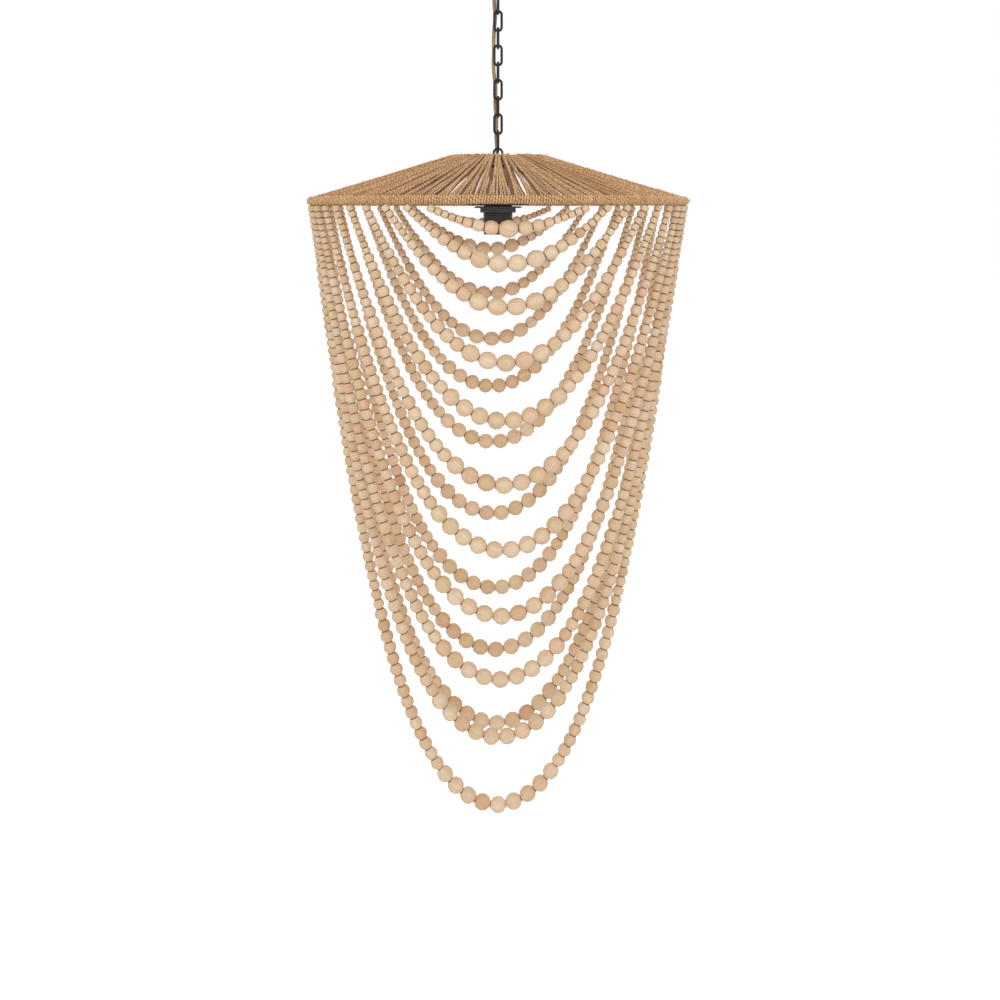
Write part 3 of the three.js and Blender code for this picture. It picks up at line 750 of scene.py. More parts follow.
link_tree = make_link_tree()
link_names = [f"link_{i:02d}" for i in range(1, 11)]
for name, body, replaced, turn in (
        ("first_chain_link", "first_link", link_names[:1], 0.0),
        ("middle_chain_links", "chain", link_names[1:9], quarter_turn),
        ("last_chain_link", "last_link", link_names[9:], quarter_turn)):
    links = run_tree(name, link_tree, {
        "Links": len(replaced), "First Height": middle_of(replaced[0]).z, "First Turn": turn}, black_steel)
    dress(links, body, *replaced)

# %% [markdown]
# ## Ceiling cup and loop fittings
# The cup is pressed from sheet, so its edge is a smooth bend. Two knurled screws hold it on the strap
# inside. Under it, and on top of the shade, sits the same fitting: a turned collar with a welded eye for
# the chain. Turned pieces are profiles spun round the axis, with their edges rounded a little, because an
# edge without any rounding catches no light.

# %% Ceiling cup
cup_low, cup_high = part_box("canopy")
cup_radius = half_width_of("canopy")
cup_sheet = 1.5 * mm
cup_bend = 6 * mm
thread_hole = 5.15 * mm

cup_outside = rounded([
    (thread_hole, cup_low.z), (cup_radius, cup_low.z), (cup_radius, cup_high.z)], cup_bend, 8)
cup_inside = rounded([
    (cup_radius - cup_sheet, cup_high.z), (cup_radius - cup_sheet, cup_low.z + cup_sheet),
    (thread_hole, cup_low.z + cup_sheet)], cup_bend - cup_sheet, 8)
cup_skin = turned(cup_outside + cup_inside, 128, True)
dress(mesh_piece("pressed_cup", cup_skin, black_steel), "ceiling_fitting", "canopy")

# %% Cup screws
screw_shank = 1.8 * mm
head_radius = 3.6 * mm
head_height = 2 * mm
knurl = 0.25 * mm


def cup_screw(name, side):
    low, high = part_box(name)
    tip, end = (low.x, high.x) if side > 0 else (-high.x, -low.x)
    seat = end - head_height
    profile = [
        (0, tip), (screw_shank * 0.6, tip), (screw_shank, tip + 0.8 * mm), (screw_shank, seat),
        (head_radius - 0.3 * mm, seat), (head_radius, seat + 0.3 * mm, knurl),
        (head_radius, end - 0.4 * mm, knurl), (head_radius - 0.5 * mm, end), (0, end)]
    turn = Matrix.Rotation(side * quarter_turn, 3, "Y")
    centre = upwards * middle_of(name).z
    skin = reshaped(turned(profile, 64), lambda p: turn @ p + centre)
    dress(mesh_piece("knurled_" + name, skin, black_steel), "ceiling_fitting", name)


cup_screw("cup_screw_right", 1)
cup_screw("cup_screw_left", -1)

# %% Loop fittings
collar_height = 9 * mm
collar_radius = 12.5 * mm
collar_foot = 1.5 * mm
collar_edge = 0.7 * mm
bore_depth = 6 * mm
eye_outer = 8.7 * mm
eye_wire = 1.75 * mm


def loop_fitting(name, node, body, upright, across):
    """The collar's face is made at the height 0, with the eye above it, and the whole is then placed."""
    low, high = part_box(node)
    bore_top = bore_depth - collar_height
    collar = turned([
        (thread_hole, -collar_height), (collar_radius - collar_foot, -collar_height),
        (collar_radius, -collar_height + collar_foot), (collar_radius, -collar_edge),
        (collar_radius - 0.3 * collar_edge, -0.3 * collar_edge), (collar_radius - collar_edge, 0), (0, 0),
        (0, bore_top), (thread_hole, bore_top)], 64, True)
    reach = (high - low).z - collar_height - eye_outer
    eye = ring_wire(upwards * reach, eye_outer - eye_wire, eye_wire, 48, 14, across, upwards)

    def placed(p):
        if upright:
            return p + upwards * (low.z + collar_height)
        return Vector((p.x, -p.y, high.z - collar_height - p.z))

    dress(mesh_piece(name, reshaped(joined(collar, eye), placed), black_steel), body, node)


loop_fitting("cup_eye_fitting", "canopy_loop", "ceiling_fitting", False, along_y)
loop_fitting("shade_eye_fitting", "shade_loop", "shade", True, along_x)

# %% Threaded tubes
tube_bore = 3.2 * mm
tube_pitch = 1.06 * mm
thread_depth = 0.45 * mm


def threaded_tube(name, node, body, material):
    low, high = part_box(node)
    outer = half_width_of(node)
    root = outer - thread_depth
    threads = int((high - low).z / tube_pitch)
    outside = []
    for i in range(threads):
        height = low.z + (i + 0.5) * (high - low).z / threads
        outside += [(root, height - tube_pitch * 0.45), (outer, height)]
    profile = [(tube_bore, low.z), (root, low.z), *outside, (root, high.z), (tube_bore, high.z)]
    dress(mesh_piece(name, turned(profile, 24, True), material), body, node)


threaded_tube("cup_threaded_tube", "canopy_nipple", "ceiling_fitting", zinc_steel)
threaded_tube("threaded_stem", "stem", "shade", black_steel)

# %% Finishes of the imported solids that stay
for node, material in (
        ("mounting_strap", zinc_steel), ("canopy_locknut", zinc_steel), ("terminal_block", black_plastic),
        ("hub_nut", black_steel), ("stem_nut", black_steel), ("centre_contact", brass)):
    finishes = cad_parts[node].data.materials
    finishes.clear()
    finishes.append(material)
    print(node, "is of", material.name)

# %% [markdown]
# ## The shade's wire frame
# Two rings and eight struts are welded into a cone, and three arms carry it on a hub. Most of it is under
# the jute, but it shows from below, and its shadow falls through the gaps. A small ball of weld sits
# wherever two wires meet.

# %% Sizes of the wire frame
rim_radius = 293 * mm
rim_wire = 3 * mm
top_radius = 74 * mm
top_wire = 2.25 * mm
cone_height = 63.5 * mm
strut_wire = 2 * mm
hub_radius = 15 * mm
hub_thickness = 3 * mm
nut_play = 0.35 * mm
ring_weld = 1.35 * top_wire
hub_weld = 1.5 * strut_wire
weld_sides, weld_rows = 12, 6

rim_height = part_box("shade_frame")[0].z + rim_wire
top_height = rim_height + cone_height
hub_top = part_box("hub_nut")[1].z + nut_play + hub_thickness
print("The rim is", round(rim_height, 4), "m below the ceiling.")


# %% Wire frame
def round_point(radius, angle, height):
    return Vector((radius * math.cos(angle), radius * math.sin(angle), height))


def weld(centre, radius):
    angles = [math.pi * i / weld_rows for i in range(weld_rows + 1)]
    profile = [(radius * math.sin(angle), -radius * math.cos(angle)) for angle in angles]
    return reshaped(turned(profile, weld_sides), lambda p: p + centre)


hub_bottom = hub_top - hub_thickness
hub = turned(rounded([
    (thread_hole, hub_bottom), (hub_radius, hub_bottom), (hub_radius, hub_top), (thread_hole, hub_top)],
    0.5 * mm), 48, True)
wires = [hub, ring_wire(upwards * rim_height, rim_radius, rim_wire, 192, 10),
         ring_wire(upwards * top_height, top_radius, top_wire, 96, 10)]
for i in range(8):
    angle = (i + 0.5) * full_turn / 8
    head, foot = round_point(top_radius, angle, top_height), round_point(rim_radius, angle, rim_height)
    wires += [wire([head, foot], strut_wire), weld(head, ring_weld)]
for i in range(3):
    angle = quarter_turn + (i + 0.5) * full_turn / 3
    inner = round_point(hub_radius - strut_wire, angle, hub_top - hub_thickness / 2)
    outer = round_point(top_radius, angle, top_height)
    wires += [wire([inner, outer], strut_wire), weld(inner, hub_weld), weld(outer, ring_weld)]
dress(mesh_piece("wire_frame", joined(*wires), black_steel), "shade", "shade_frame")

# %% [markdown]
# ## The cone of jute cords
# Three hundred and nine cords run from the top ring to the rim. They lie in 103 bunches of three, side by
# side at the rim with narrow gaps of light between the bunches, and pile up on each other at the top,
# where there is a quarter of the room. One cord is a bent line with two attributes, the way out of the
# cone and how far it is from top to rim. Geometry Nodes copy the line, turn each copy to its place, lift
# it to its layer, and sweep a round section along it.


# %% Meshes that carry attributes
def mesh_with(name, points, edges=(), faces=(), **attributes):
    """A mesh whose points carry attributes, each a list of vectors, whole numbers or numbers."""
    mesh = bpy.data.meshes.new(name)
    mesh.from_pydata(points, edges, faces)
    for title, values in attributes.items():
        kind, field = ("INT", "value") if isinstance(values[0], int) else ("FLOAT", "value")
        if isinstance(values[0], Vector):
            kind, field, values = "FLOAT_VECTOR", "vector", [n for value in values for n in value]
        mesh.attributes.new(title, kind, "POINT").data.foreach_set(field, values)
    return mesh


# %% Line of one cord
cord_radius = 2.15 * mm
cord_play = 0.2 * mm
foot_inside = 4.5 * mm
foot_lower = 0.9 * mm
bend_start = math.radians(235)
bend_steps = 7
run_steps = 20
cone_outwards = quarter_turn - math.atan2(cone_height, rim_radius - top_radius)


def way_out(angle):
    return Vector((math.cos(angle), 0, math.sin(angle)))


def cord_line():
    """The middle line of one cord in the XZ plane: under the top ring, over it and down to the rim."""
    top, rim = Vector((top_radius, 0, top_height)), Vector((rim_radius, 0, rim_height))
    reach = top_wire + cord_radius + cord_play
    turn = cone_outwards - bend_start
    outwards = [way_out(bend_start + turn * i / bend_steps) for i in range(bend_steps + 1)]
    points = [top + out * reach for out in outwards]
    spreads = [0.0] * len(points)
    out = way_out(cone_outwards)
    foot = rim + (top - rim).normalized() * foot_inside + out * (reach - foot_lower)
    for i in range(1, run_steps + 1):
        points.append((top + out * reach).lerp(foot, i / run_steps))
        outwards.append(out)
        spreads.append(i / run_steps)
    edges = [(i, i + 1) for i in range(len(points) - 1)]
    return mesh_with("cord line", points, edges, outwards=outwards, spread=spreads)


# %% Helpers for cords
def swept(curve, radius, sides, start=0.0):
    """A round cord along a curve, with its length along U and the way round it along V."""
    tree = curve.tree
    curve = stored(curve, "along", tree.add("GeometryNodeSplineParameter", output="Length") + start)
    section = tree.add("GeometryNodeCurvePrimitiveCircle", {"Resolution": sides, "Radius": radius})
    section = stored(section, "around", tree.add("GeometryNodeInputIndex") / float(sides))
    mesh = tree.add("GeometryNodeCurveToMesh", {"Curve": curve, "Profile Curve": section, "Fill Caps": True})
    # The way round jumps from 1 to 0 at the seam, so each corner counts from the middle of its own face
    around = named(tree, "around")
    angle = around * full_turn
    middle = [tree.add("GeometryNodeFieldOnDomain", {0: tree.maths(way, angle)}, domain="FACE")
              for way in ("SINE", "COSINE")]
    face = tree.maths("ARCTAN2", *middle) / full_turn
    corner = face + tree.maths("WRAP", around - face, 0.5, -0.5)
    return stored(mesh, "UVMap", tree.place(named(tree, "along"), corner), "FLOAT2", "CORNER")


def wander(tree, scale, width, values=None, **settings):
    """Noise over the place of a point, by half of the width to either side."""
    value = tree.add("ShaderNodeTexNoise", {"Scale": scale, **(values or {})}, "Fac", **settings)
    return (value - 0.5) * width


def turned_by(vector, angle):
    values = {"Vector": vector, "Angle": angle}
    return vector.tree.add("ShaderNodeVectorRotate", values, rotation_type="Z_AXIS")


# %% Tree of the cone
cord_chance, bunch_chance, top_chance = 0.0022, 0.0045, 0.028
waver = 0.009
wobble = 1.6 * mm
most_layers = 3.2


def make_cone_tree():
    tree, given = new_shape_tree("cone of cords", {
        "Bunches": 103, "Cords per Bunch": 3, "Cord Radius": cord_radius, "Pitch at Rim": 5.1 * mm,
        "Rim Radius": rim_radius, "Layer Height": 1 * mm})
    line = tree.add("GeometryNodeMeshToCurve", {"Mesh": given["Geometry"]})
    copies = tree.outputs(tree.node("GeometryNodeDuplicateElements", {
        "Geometry": line, "Amount": given["Bunches"] * given["Cords per Bunch"]}, domain="SPLINE"))
    index = copies["Duplicate Index"]
    bunch = tree.maths("FLOOR", index / given["Cords per Bunch"])
    place = tree.maths("MODULO", index, given["Cords per Bunch"])
    spread = named(tree, "spread")
    away = 1.0 - spread
    # Where the cord meets the rim: its bunch, its place in the bunch, and a little chance
    centred = place - (given["Cords per Bunch"] - 1.0) * 0.5
    luck = chance(index, -cord_chance, cord_chance, 1) + chance(bunch, -bunch_chance, bunch_chance, 2)
    in_bunch = centred * (given["Pitch at Rim"] / given["Rim Radius"]) + luck
    # A cord wavers to both sides on its way down, and lies where it likes at the top
    at_rim = spread * (in_bunch + wander(tree, 40.0, waver, {"W": index * 3.1}, noise_dimensions="4D"))
    at_top = away * chance(index, -top_chance, top_chance, 3)
    angle = bunch * (full_turn / given["Bunches"]) + (at_rim + at_top)
    # How high it lies: on the others at the top, beside them at the rim
    layer = tree.maths("POWER", away, 1.5) * (given["Layer Height"] * chance(index, 0.0, most_layers, 5))
    lift = layer + wander(tree, 9.0, wobble, {"W": index * 7.3}, noise_dimensions="4D")
    outwards = named(tree, "outwards", "FLOAT_VECTOR")
    raised = tree.vectors("ADD", tree.add("GeometryNodeInputPosition"), tree.scaled(outwards, lift))
    placed = tree.add("GeometryNodeSetPosition", {
        "Geometry": copies["Geometry"], "Position": turned_by(raised, angle)})
    # Its thickness changes from cord to cord, and along each cord
    swelling = tree.add("ShaderNodeTexNoise", {"Scale": 90.0, "Detail": 1.0}, "Fac")
    thickness = chance(index, 0.86, 1.06, 6) * (0.72 + swelling * 0.56)
    thick = tree.add("GeometryNodeSetCurveRadius", {"Curve": placed, "Radius": thickness})
    tinted = stored(thick, "tint", chance(index, 0.0, 1.0, 7))
    faced = stored(tinted, "outwards", turned_by(outwards, angle), "FLOAT_VECTOR")
    cords = swept(faced, given["Cord Radius"], 6, chance(index, 0.0, 0.1, 8))
    # Painted shade: the sides of each cord, where it meets its neighbours, and its underside are stored to be
    # darkened
    facing = tree.vectors("DOT_PRODUCT", tree.add("GeometryNodeInputNormal"), outwards)
    return finished(stored(cords, "hollow", 1.0 - facing), given)


# %% Jute cords of the cone
cone = run_tree("jute_cords", make_cone_tree(), {}, jute, cord_line())
dress(cone, "shade", "jute_cone")

# %% [markdown]
# ## The wound rim
# A thinner jute cord is wound round the rim, turn against turn, and hides the feet of the cords. Its
# middle line is a screw round a ring, so a circle with many points is pushed out and up by the sine and
# cosine of its own place.

# %% Wound rim
winding_unevenness = 1.1 * mm
side_shade = 0.75


def make_winding_tree():
    tree, given = new_shape_tree("winding round a ring", {
        "Ring Radius": rim_radius, "Height": rim_height, "Turns": 490, "Steps per Turn": 10,
        "Winding Radius": 4.8 * mm, "Cord Radius": 1.85 * mm})
    circle = tree.add("GeometryNodeCurvePrimitiveCircle", {
        "Resolution": given["Turns"] * given["Steps per Turn"], "Radius": given["Ring Radius"]})
    turn = tree.add("GeometryNodeInputIndex") / given["Steps per Turn"] * full_turn
    reach = given["Winding Radius"] + wander(tree, 120.0, winding_unevenness, {"Detail": 1.0})
    wide = given["Ring Radius"] + reach * tree.maths("COSINE", turn)
    height = given["Height"] + reach * tree.maths("SINE", turn)
    angle = tree.add("GeometryNodeSplineParameter", output="Factor") * full_turn
    spot = tree.place(wide * tree.maths("COSINE", angle), wide * tree.maths("SINE", angle), height)
    screw = tree.add("GeometryNodeSetPosition", {"Geometry": circle, "Position": spot})
    cord = swept(screw, given["Cord Radius"], 6)
    # Each turn gets painted shade at its sides, which face along the rim towards the next turns
    along_rim = tree.vectors("CROSS_PRODUCT", tree.add("GeometryNodeInputPosition"), (0, 0, 1))
    sideways = tree.vectors(
        "DOT_PRODUCT", tree.add("GeometryNodeInputNormal"), tree.vectors("NORMALIZE", along_rim))
    return finished(stored(cord, "hollow", tree.maths("ABSOLUTE", sideways) * side_shade), given)


winding = run_tree("wound_rim_cord", make_winding_tree(), {}, rim_jute)
dress(winding, "shade", "rim_wrap")

# %% [markdown]
# ## Loose fibres
# Jute is never smooth: short fibres stand off every cord, and they soften the outline of the cone.
# Geometry Nodes scatter points over the backs of the cords and put a thin, bent fibre on each, turned and
# scaled by chance.

# %% Loose fibres
deepest_hollow = 0.8
fibre_bends = ((0, 0, -0.2), (0.5, 0.1, 1.1), (2.2, 0.4, 1.0))


def make_fibre_tree():
    tree, given = new_shape_tree("loose fibres", {
        "Fibres per Area": 2400.0, "Radius": 0.26 * mm, "Reach": 1.7 * mm, "Seed": 5})
    # Fibres stand only where the painted shade of the hollows is light, on the backs of the cords
    hollow = named(tree, "hollow")
    outside = tree.add("FunctionNodeCompare", {0: hollow, 1: deepest_hollow}, operation="LESS_THAN")
    scattered = tree.outputs(tree.node("GeometryNodeDistributePointsOnFaces", {
        "Mesh": given["Geometry"], "Selection": outside, "Density": given["Fibres per Area"],
        "Seed": given["Seed"]}))
    index = tree.add("GeometryNodeInputIndex")
    spin = tree.add("FunctionNodeAxisAngleToRotation", {
        "Axis": (0, 0, 1), "Angle": chance(index, 0.0, full_turn, 11)})
    facing = tree.add("FunctionNodeRotateRotation", {
        "Rotation": scattered["Rotation"], "Rotate By": spin}, rotation_space="LOCAL")
    start, middle, end = (tree.scaled(bend, given["Reach"]) for bend in fibre_bends)
    line = tree.add("GeometryNodeCurveQuadraticBezier", {
        "Resolution": 4, "Start": start, "Middle": middle, "End": end})
    section = tree.add("GeometryNodeCurvePrimitiveCircle", {"Resolution": 3, "Radius": given["Radius"]})
    fibre = tree.add("GeometryNodeCurveToMesh", {"Curve": line, "Profile Curve": section, "Fill Caps": True})
    # One place in the UV map for the whole fibre, on the back of a ply, where the cord's colour has its
    # painted highlight
    fibre = stored(fibre, "UVMap", tree.place(y=0.25), "FLOAT2", "CORNER")
    return finished(tree.add("GeometryNodeInstanceOnPoints", {
        "Points": scattered["Points"], "Instance": fibre, "Rotation": facing,
        "Scale": chance(index, 0.45, 1.3, 12)}), given)


fibre_tree = make_fibre_tree()
dress(run_tree("loose_cone_fibres", fibre_tree, {"Seed": 5}, jute, cone.data), "shade")
dress(run_tree("loose_rim_fibres", fibre_tree, {"Seed": 6}, jute, winding.data), "shade")

# %% [markdown]
# ## How a strand hangs
# A strand is a string with beads that grow towards its lowest point, so it is heavier there and hangs
# rounder than a chain of equal links. Its curve is followed upwards from the lowest point in short steps:
# the pull sideways stays the same, the weight carried grows, and their ratio is the slope. The sideways
# pull that makes the curve end under the rim is found by halving. The row of beads is worked out in the
# same way as in the CAD source, but with each bead.

# %% Sizes of the strands, in millimetres
bead_diameters = [26, 21, 18, 15, 12]
bead_spacings = [0.96, 0.85, 0.84, 0.85, 0.78]
middle_runs = [0.34, 0.44, 0.22]
fewest_largest, most_largest = 1, 5
fewest_smallest, most_smallest = 4, 10
longest_drop = 957
rim_gap = 6.458
bead_play = 0.35
end_radius = bead_diameters[-1] / 2
end_reach = bead_spacings[-1] / 2 * bead_diameters[-1]
strand_swing = math.radians(10)
curve_steps = 160
halvings = 40


def lerp(a, b, t):
    return a + (b - a) * t


# %% Curve of a strand
def hanging_curve(half_width, drop):
    """Half of a strand, from its lowest point up: steps of (across, up) in millimetres."""
    step = math.hypot(half_width, drop) / curve_steps

    def laid(pull):
        across, up, weight = 0.0, 0.0, 0.0
        path = [(across, up)]
        while up < drop:
            weight += step * lerp(bead_diameters[0], bead_diameters[-1], up / drop) ** 2
            tension = math.hypot(pull, weight)
            part = min(1.0, (drop - up) / (step * weight / tension))
            across += part * step * pull / tension
            up = drop if part < 1 else up + step * weight / tension
            path.append((across, up))
        return path

    low, high = 0.0, 20 * half_width * bead_diameters[0] ** 2
    for _ in range(halvings):
        pull = (low + high) / 2
        if laid(pull)[-1][0] < half_width:
            low = pull
        else:
            high = pull
    return laid(high)


# %% Rows of beads
def bead_row(total, share, first_part):
    """The beads of half a strand, from its lowest point up, as (index of the diameter, length). The
    first_part is 1, or 0.5 where a single bead hangs at the lowest point and belongs to both halves."""
    growth = min(1.0, share / 0.5)
    largest = lerp(fewest_largest, most_largest, growth)
    smallest = lerp(fewest_smallest, most_smallest, growth)
    counts = [largest, 0, 0, 0, smallest]
    pitches = [diameter * spacing for diameter, spacing in zip(bead_diameters, bead_spacings)]
    rest = total - largest * pitches[0] - smallest * pitches[4]
    for kind, run in zip((1, 2, 3), middle_runs):
        counts[kind] = rest * run / pitches[kind]
    kinds = [kind for kind, count in enumerate(counts) for _ in range(max(1, round(count)))]
    lengths = [pitches[kind] for kind in kinds]
    lengths[0] *= first_part
    fit = total / sum(lengths)
    return [(kind, length * fit) for kind, length in zip(kinds, lengths)], fit


def strand_layout(angle, share, single):
    """Half a strand, from its lowest point up: its half width, its beads as (x, z, tangent, kind, fit), and
    the places of the joints between the beads."""
    half_width = rim_radius / mm * math.sin(angle)
    drop = share * longest_drop - rim_gap
    # The first bead hangs low enough to clear the rim when the strand swings
    steepness = math.atan2(2 * drop, half_width)
    swung = steepness - strand_swing
    lead = bead_play + max(0.0, end_radius * math.cos(swung) - end_reach * math.sin(steepness))
    path = hanging_curve(half_width, drop - lead)
    lengths = [0.0]
    for (x0, z0), (x1, z1) in zip(path, path[1:]):
        lengths.append(lengths[-1] + math.hypot(x1 - x0, z1 - z0))

    def at(distance):
        i = min(max(1, sum(1 for length in lengths if length < distance)), len(path) - 1)
        t = (distance - lengths[i - 1]) / (lengths[i] - lengths[i - 1])
        (x0, z0), (x1, z1) = path[i - 1], path[i]
        return lerp(x0, x1, t), lerp(z0, z1, t) - drop, (x1 - x0, z1 - z0)

    row, fit = bead_row(lengths[-1], share, 0.5 if single else 1)
    beads, joints, along = [], [], 0.0
    for kind, length in row:
        middle = along if single and not beads else along + length / 2
        beads.append((*at(middle), kind, fit))
        along += length
        joints.append(at(along)[:2])
    return half_width, beads, joints


# %% [markdown]
# ## Beads on their strings
# A bead is a turned ball, drilled through and cut flat at both ends, so that neighbours sit close: five
# sizes, each with its own flats. The five meshes lie in a collection, and each strand is a cloud of
# points that carry the size, the turn, the stretch and the tone of a bead. Geometry Nodes pick the mesh
# for each point. The beads' own coordinates are kept as the place in the plank, so the grain turns with
# each bead.

# %% Bead shapes
bead_shapes = bpy.data.collections.new("bead shapes")
bead_gap = 0.06 * mm
edge_round = 0.55 * mm
bead_sides = 12
bead_rows = (0, 0.52, 1)


def bead_shape(diameter, spacing):
    radius = diameter / 2 * mm
    face = radius * spacing - bead_gap
    cut = math.asin((face - edge_round) / radius)
    side = [(radius * math.cos(cut * t), radius * math.sin(cut * t)) for t in bead_rows]
    half = [*side, (side[-1][0] - edge_round, face)]
    points, faces, _ = turned([(r, -z) for r, z in half[:0:-1]] + half, bead_sides)
    faces += [tuple(range(bead_sides))[::-1], tuple(range(len(points) - bead_sides, len(points)))]
    to_end = [(face - abs(p.z)) / mm for p in points]
    mesh = mesh_with(f"bead {diameter} mm", points, faces=faces, plank=points, to_end=to_end)
    bead_shapes.objects.link(bpy.data.objects.new(mesh.name, mesh))
    print("A bead of", diameter, "mm has", len(faces), "faces.")


for diameter, spacing in zip(bead_diameters, bead_spacings):
    bead_shape(diameter, spacing)


# %% Tree that strings the beads
def make_bead_tree():
    tree, given = new_shape_tree("beads on a string", {"Bead Shapes": SHAPES})
    shapes = tree.add("GeometryNodeCollectionInfo", {
        "Collection": given["Bead Shapes"], "Separate Children": True, "Reset Children": True})
    strung = tree.add("GeometryNodeInstanceOnPoints", {
        "Points": given["Geometry"], "Instance": shapes, "Pick Instance": True,
        "Instance Index": named(tree, "kind", "INT"), "Rotation": named(tree, "turn", "FLOAT_VECTOR"),
        "Scale": named(tree, "stretch", "FLOAT_VECTOR")})
    real = tree.add("GeometryNodeRealizeInstances", {0: strung})
    place = tree.vectors("ADD", named(tree, "plank", "FLOAT_VECTOR"), named(tree, "cut_from", "FLOAT_VECTOR"))
    return finished(stored(real, "plank", place, "FLOAT_VECTOR"), given)


bead_tree = make_bead_tree()

# %% Points for the beads
hang_height = rim_height - rim_gap * mm
least_stretch_across, most_stretch_across = 0.975, 1.01
usual_tone, tone_spread = 0.62, 0.17
usual_blush, blush_spread = 0.5, 0.25
plank_reach = 2


def bead_points(name, beads, y):
    """A cloud of points for a strand's beads, with the attributes that the tree reads."""
    luck = random.Random(name)

    def share(usual, spread):
        return min(1.0, max(0.0, luck.gauss(usual, spread)))

    points, turns, stretches, tones, blushes, places, kinds = [], [], [], [], [], [], []
    for x, z, (dx, dz), kind, fit in beads:
        for side in (1, -1) if x > 0.01 else (1,):
            points.append(Vector((side * x, y / mm, z)) * mm + upwards * hang_height)
            along = Vector((side * dx, 0, dz)).to_track_quat("Z", "Y")
            spin = Matrix.Rotation(luck.uniform(0, full_turn), 4, "Z").to_quaternion()
            turns.append(Vector((along @ spin).to_euler()))
            wide = luck.uniform(least_stretch_across, most_stretch_across)
            stretches.append(Vector((wide, wide, fit)))
            tones.append(share(usual_tone, tone_spread))
            blushes.append(share(usual_blush, blush_spread))
            places.append(Vector([luck.uniform(-plank_reach, plank_reach) for _ in range(3)]))
            kinds.append(len(bead_diameters) - 1 - kind)
    return mesh_with(name + " points", points, turn=turns, stretch=stretches, cut_from=places, tone=tones,
                     blush=blushes, kind=kinds)


# %% Places of the strands
first_angle, angle_step = math.radians(22), math.radians(6.8)
front_shares = [0.0418, 0.0923, 0.1561, 0.2399, 0.3297, 0.4319, 0.5394, 0.6519, 0.7646, 0.8723]
back_shares = [0.0418, 0.087, 0.1694, 0.2516, 0.3352, 0.4311, 0.5522, 0.6738, 0.7691, 0.8803]
single_front, single_back = (1, 4, 6, 8, 9), (4, 9, 10)

strands = [("strand_middle", quarter_turn, 1.0, 0.0, True)]
for i, (front_share, back_share) in enumerate(zip(front_shares, back_shares)):
    angle = first_angle + angle_step * i
    depth = rim_radius * math.cos(angle)
    strands.append((f"strand_front_{i + 1:02d}", angle, front_share, -depth, i + 1 in single_front))
    strands.append((f"strand_back_{i + 1:02d}", angle, back_share, depth, i + 1 in single_back))
print("There are", len(strands), "strands.")

# %% All strands
string_radius = 0.7 * mm
string_ends = (-0.2, -0.3), (0, 0)
tie_radius = 6 * mm
tie_wire = 0.8 * mm

ties = []
bead_count = 0
for name, angle, share, y, single in strands:
    half_width, beads, joints = strand_layout(angle, share, single)
    bead_count += 2 * len(beads) - single
    points = bead_points(name, beads, y)
    row = run_tree(name + "_row", bead_tree, {"Bead Shapes": bead_shapes}, bead_wood, points)
    dress(row, name + "_beads", name)
    half = joints + [(half_width + x, z) for x, z in string_ends]
    halves = [(-x, z) for x, z in reversed(half)] + half
    route = [Vector((x * mm, y, z * mm + hang_height)) for x, z in halves]
    dress(mesh_piece(name + "_string", wire(route, string_radius, 6), twine), name + "_beads")
    for side in (-1, 1):
        centre = Vector((side * half_width * mm, y, rim_height))
        outwards = Vector((centre.x, centre.y, 0)).normalized()
        ties.append(ring_wire(centre, tie_radius, tie_wire, 20, 6, outwards, upwards))
dress(mesh_piece("strand_ties", joined(*ties), rim_jute), "shade")
print("There are", bead_count, "beads on", len(strands), "strands.")

# %% [markdown]
# ## Lampholder
# A black plastic lampholder with a threaded body and a ribbed ring hangs under the shade, where the ring
# once held the shade's plate. Seen from below, its threaded brass shell and the foot contact show. All
# pieces are profiles spun round the axis. A thread is drawn as rings, because a pitch of three
# millimetres hides the difference.

# %% Plate over the lampholder
plate_low, plate_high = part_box("gallery_plate")
plate_radius = half_width_of("gallery_plate")
plate_profile = rounded([
    (thread_hole, plate_low.z), (plate_radius, plate_low.z), (plate_radius, plate_high.z),
    (thread_hole, plate_high.z)], 0.6 * mm)
dress(mesh_piece("gallery_disc", turned(plate_profile, 96, True), black_steel), "shade", "gallery_plate")

# %% Body of the lampholder
body_low, body_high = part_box("lampholder_body")
body_radius = half_width_of("lampholder_body")
socket_radius = 15 * mm
roof_thickness = 14 * mm
cap_depth = 7 * mm
thread_pitch = 3 * mm
thread_start = 4 * mm
# Each ring of one thread: how far inside the body's radius and above the thread's start it lies, in mm
thread_form = ((1.1, 0), (0.25, 0.7), (0, 1.1), (0, 1.6), (0.25, 2), (1.1, 2.7))
# The same for the body's shoulder, counted down from its top
shoulder_form = ((1.1, 8), (0.8, 1), (2.2, 0))


def holder_body():
    outside = [(body_radius - 1.2 * mm, body_low.z), (body_radius - 0.5 * mm, body_low.z + 0.5 * mm)]
    for i in range(int((body_high.z - body_low.z - roof_thickness) / thread_pitch)):
        start = body_low.z + thread_start + i * thread_pitch
        outside += [(body_radius - inside * mm, start + above * mm) for inside, above in thread_form]
    outside += [(body_radius - inside * mm, body_high.z - below * mm) for inside, below in shoulder_form]
    outside.append((thread_hole, body_high.z))
    seat, roof = body_high.z - cap_depth, body_high.z - roof_thickness
    inside = [(thread_hole, seat), (0, seat), (0, roof), (socket_radius - 0.8 * mm, roof),
              (socket_radius, roof - 0.8 * mm), (socket_radius, body_low.z + 0.6 * mm),
              (socket_radius + 0.6 * mm, body_low.z)]
    return turned(outside + inside, 72, True)


dress(mesh_piece("threaded_holder", holder_body(), black_plastic), "shade", "lampholder_body")

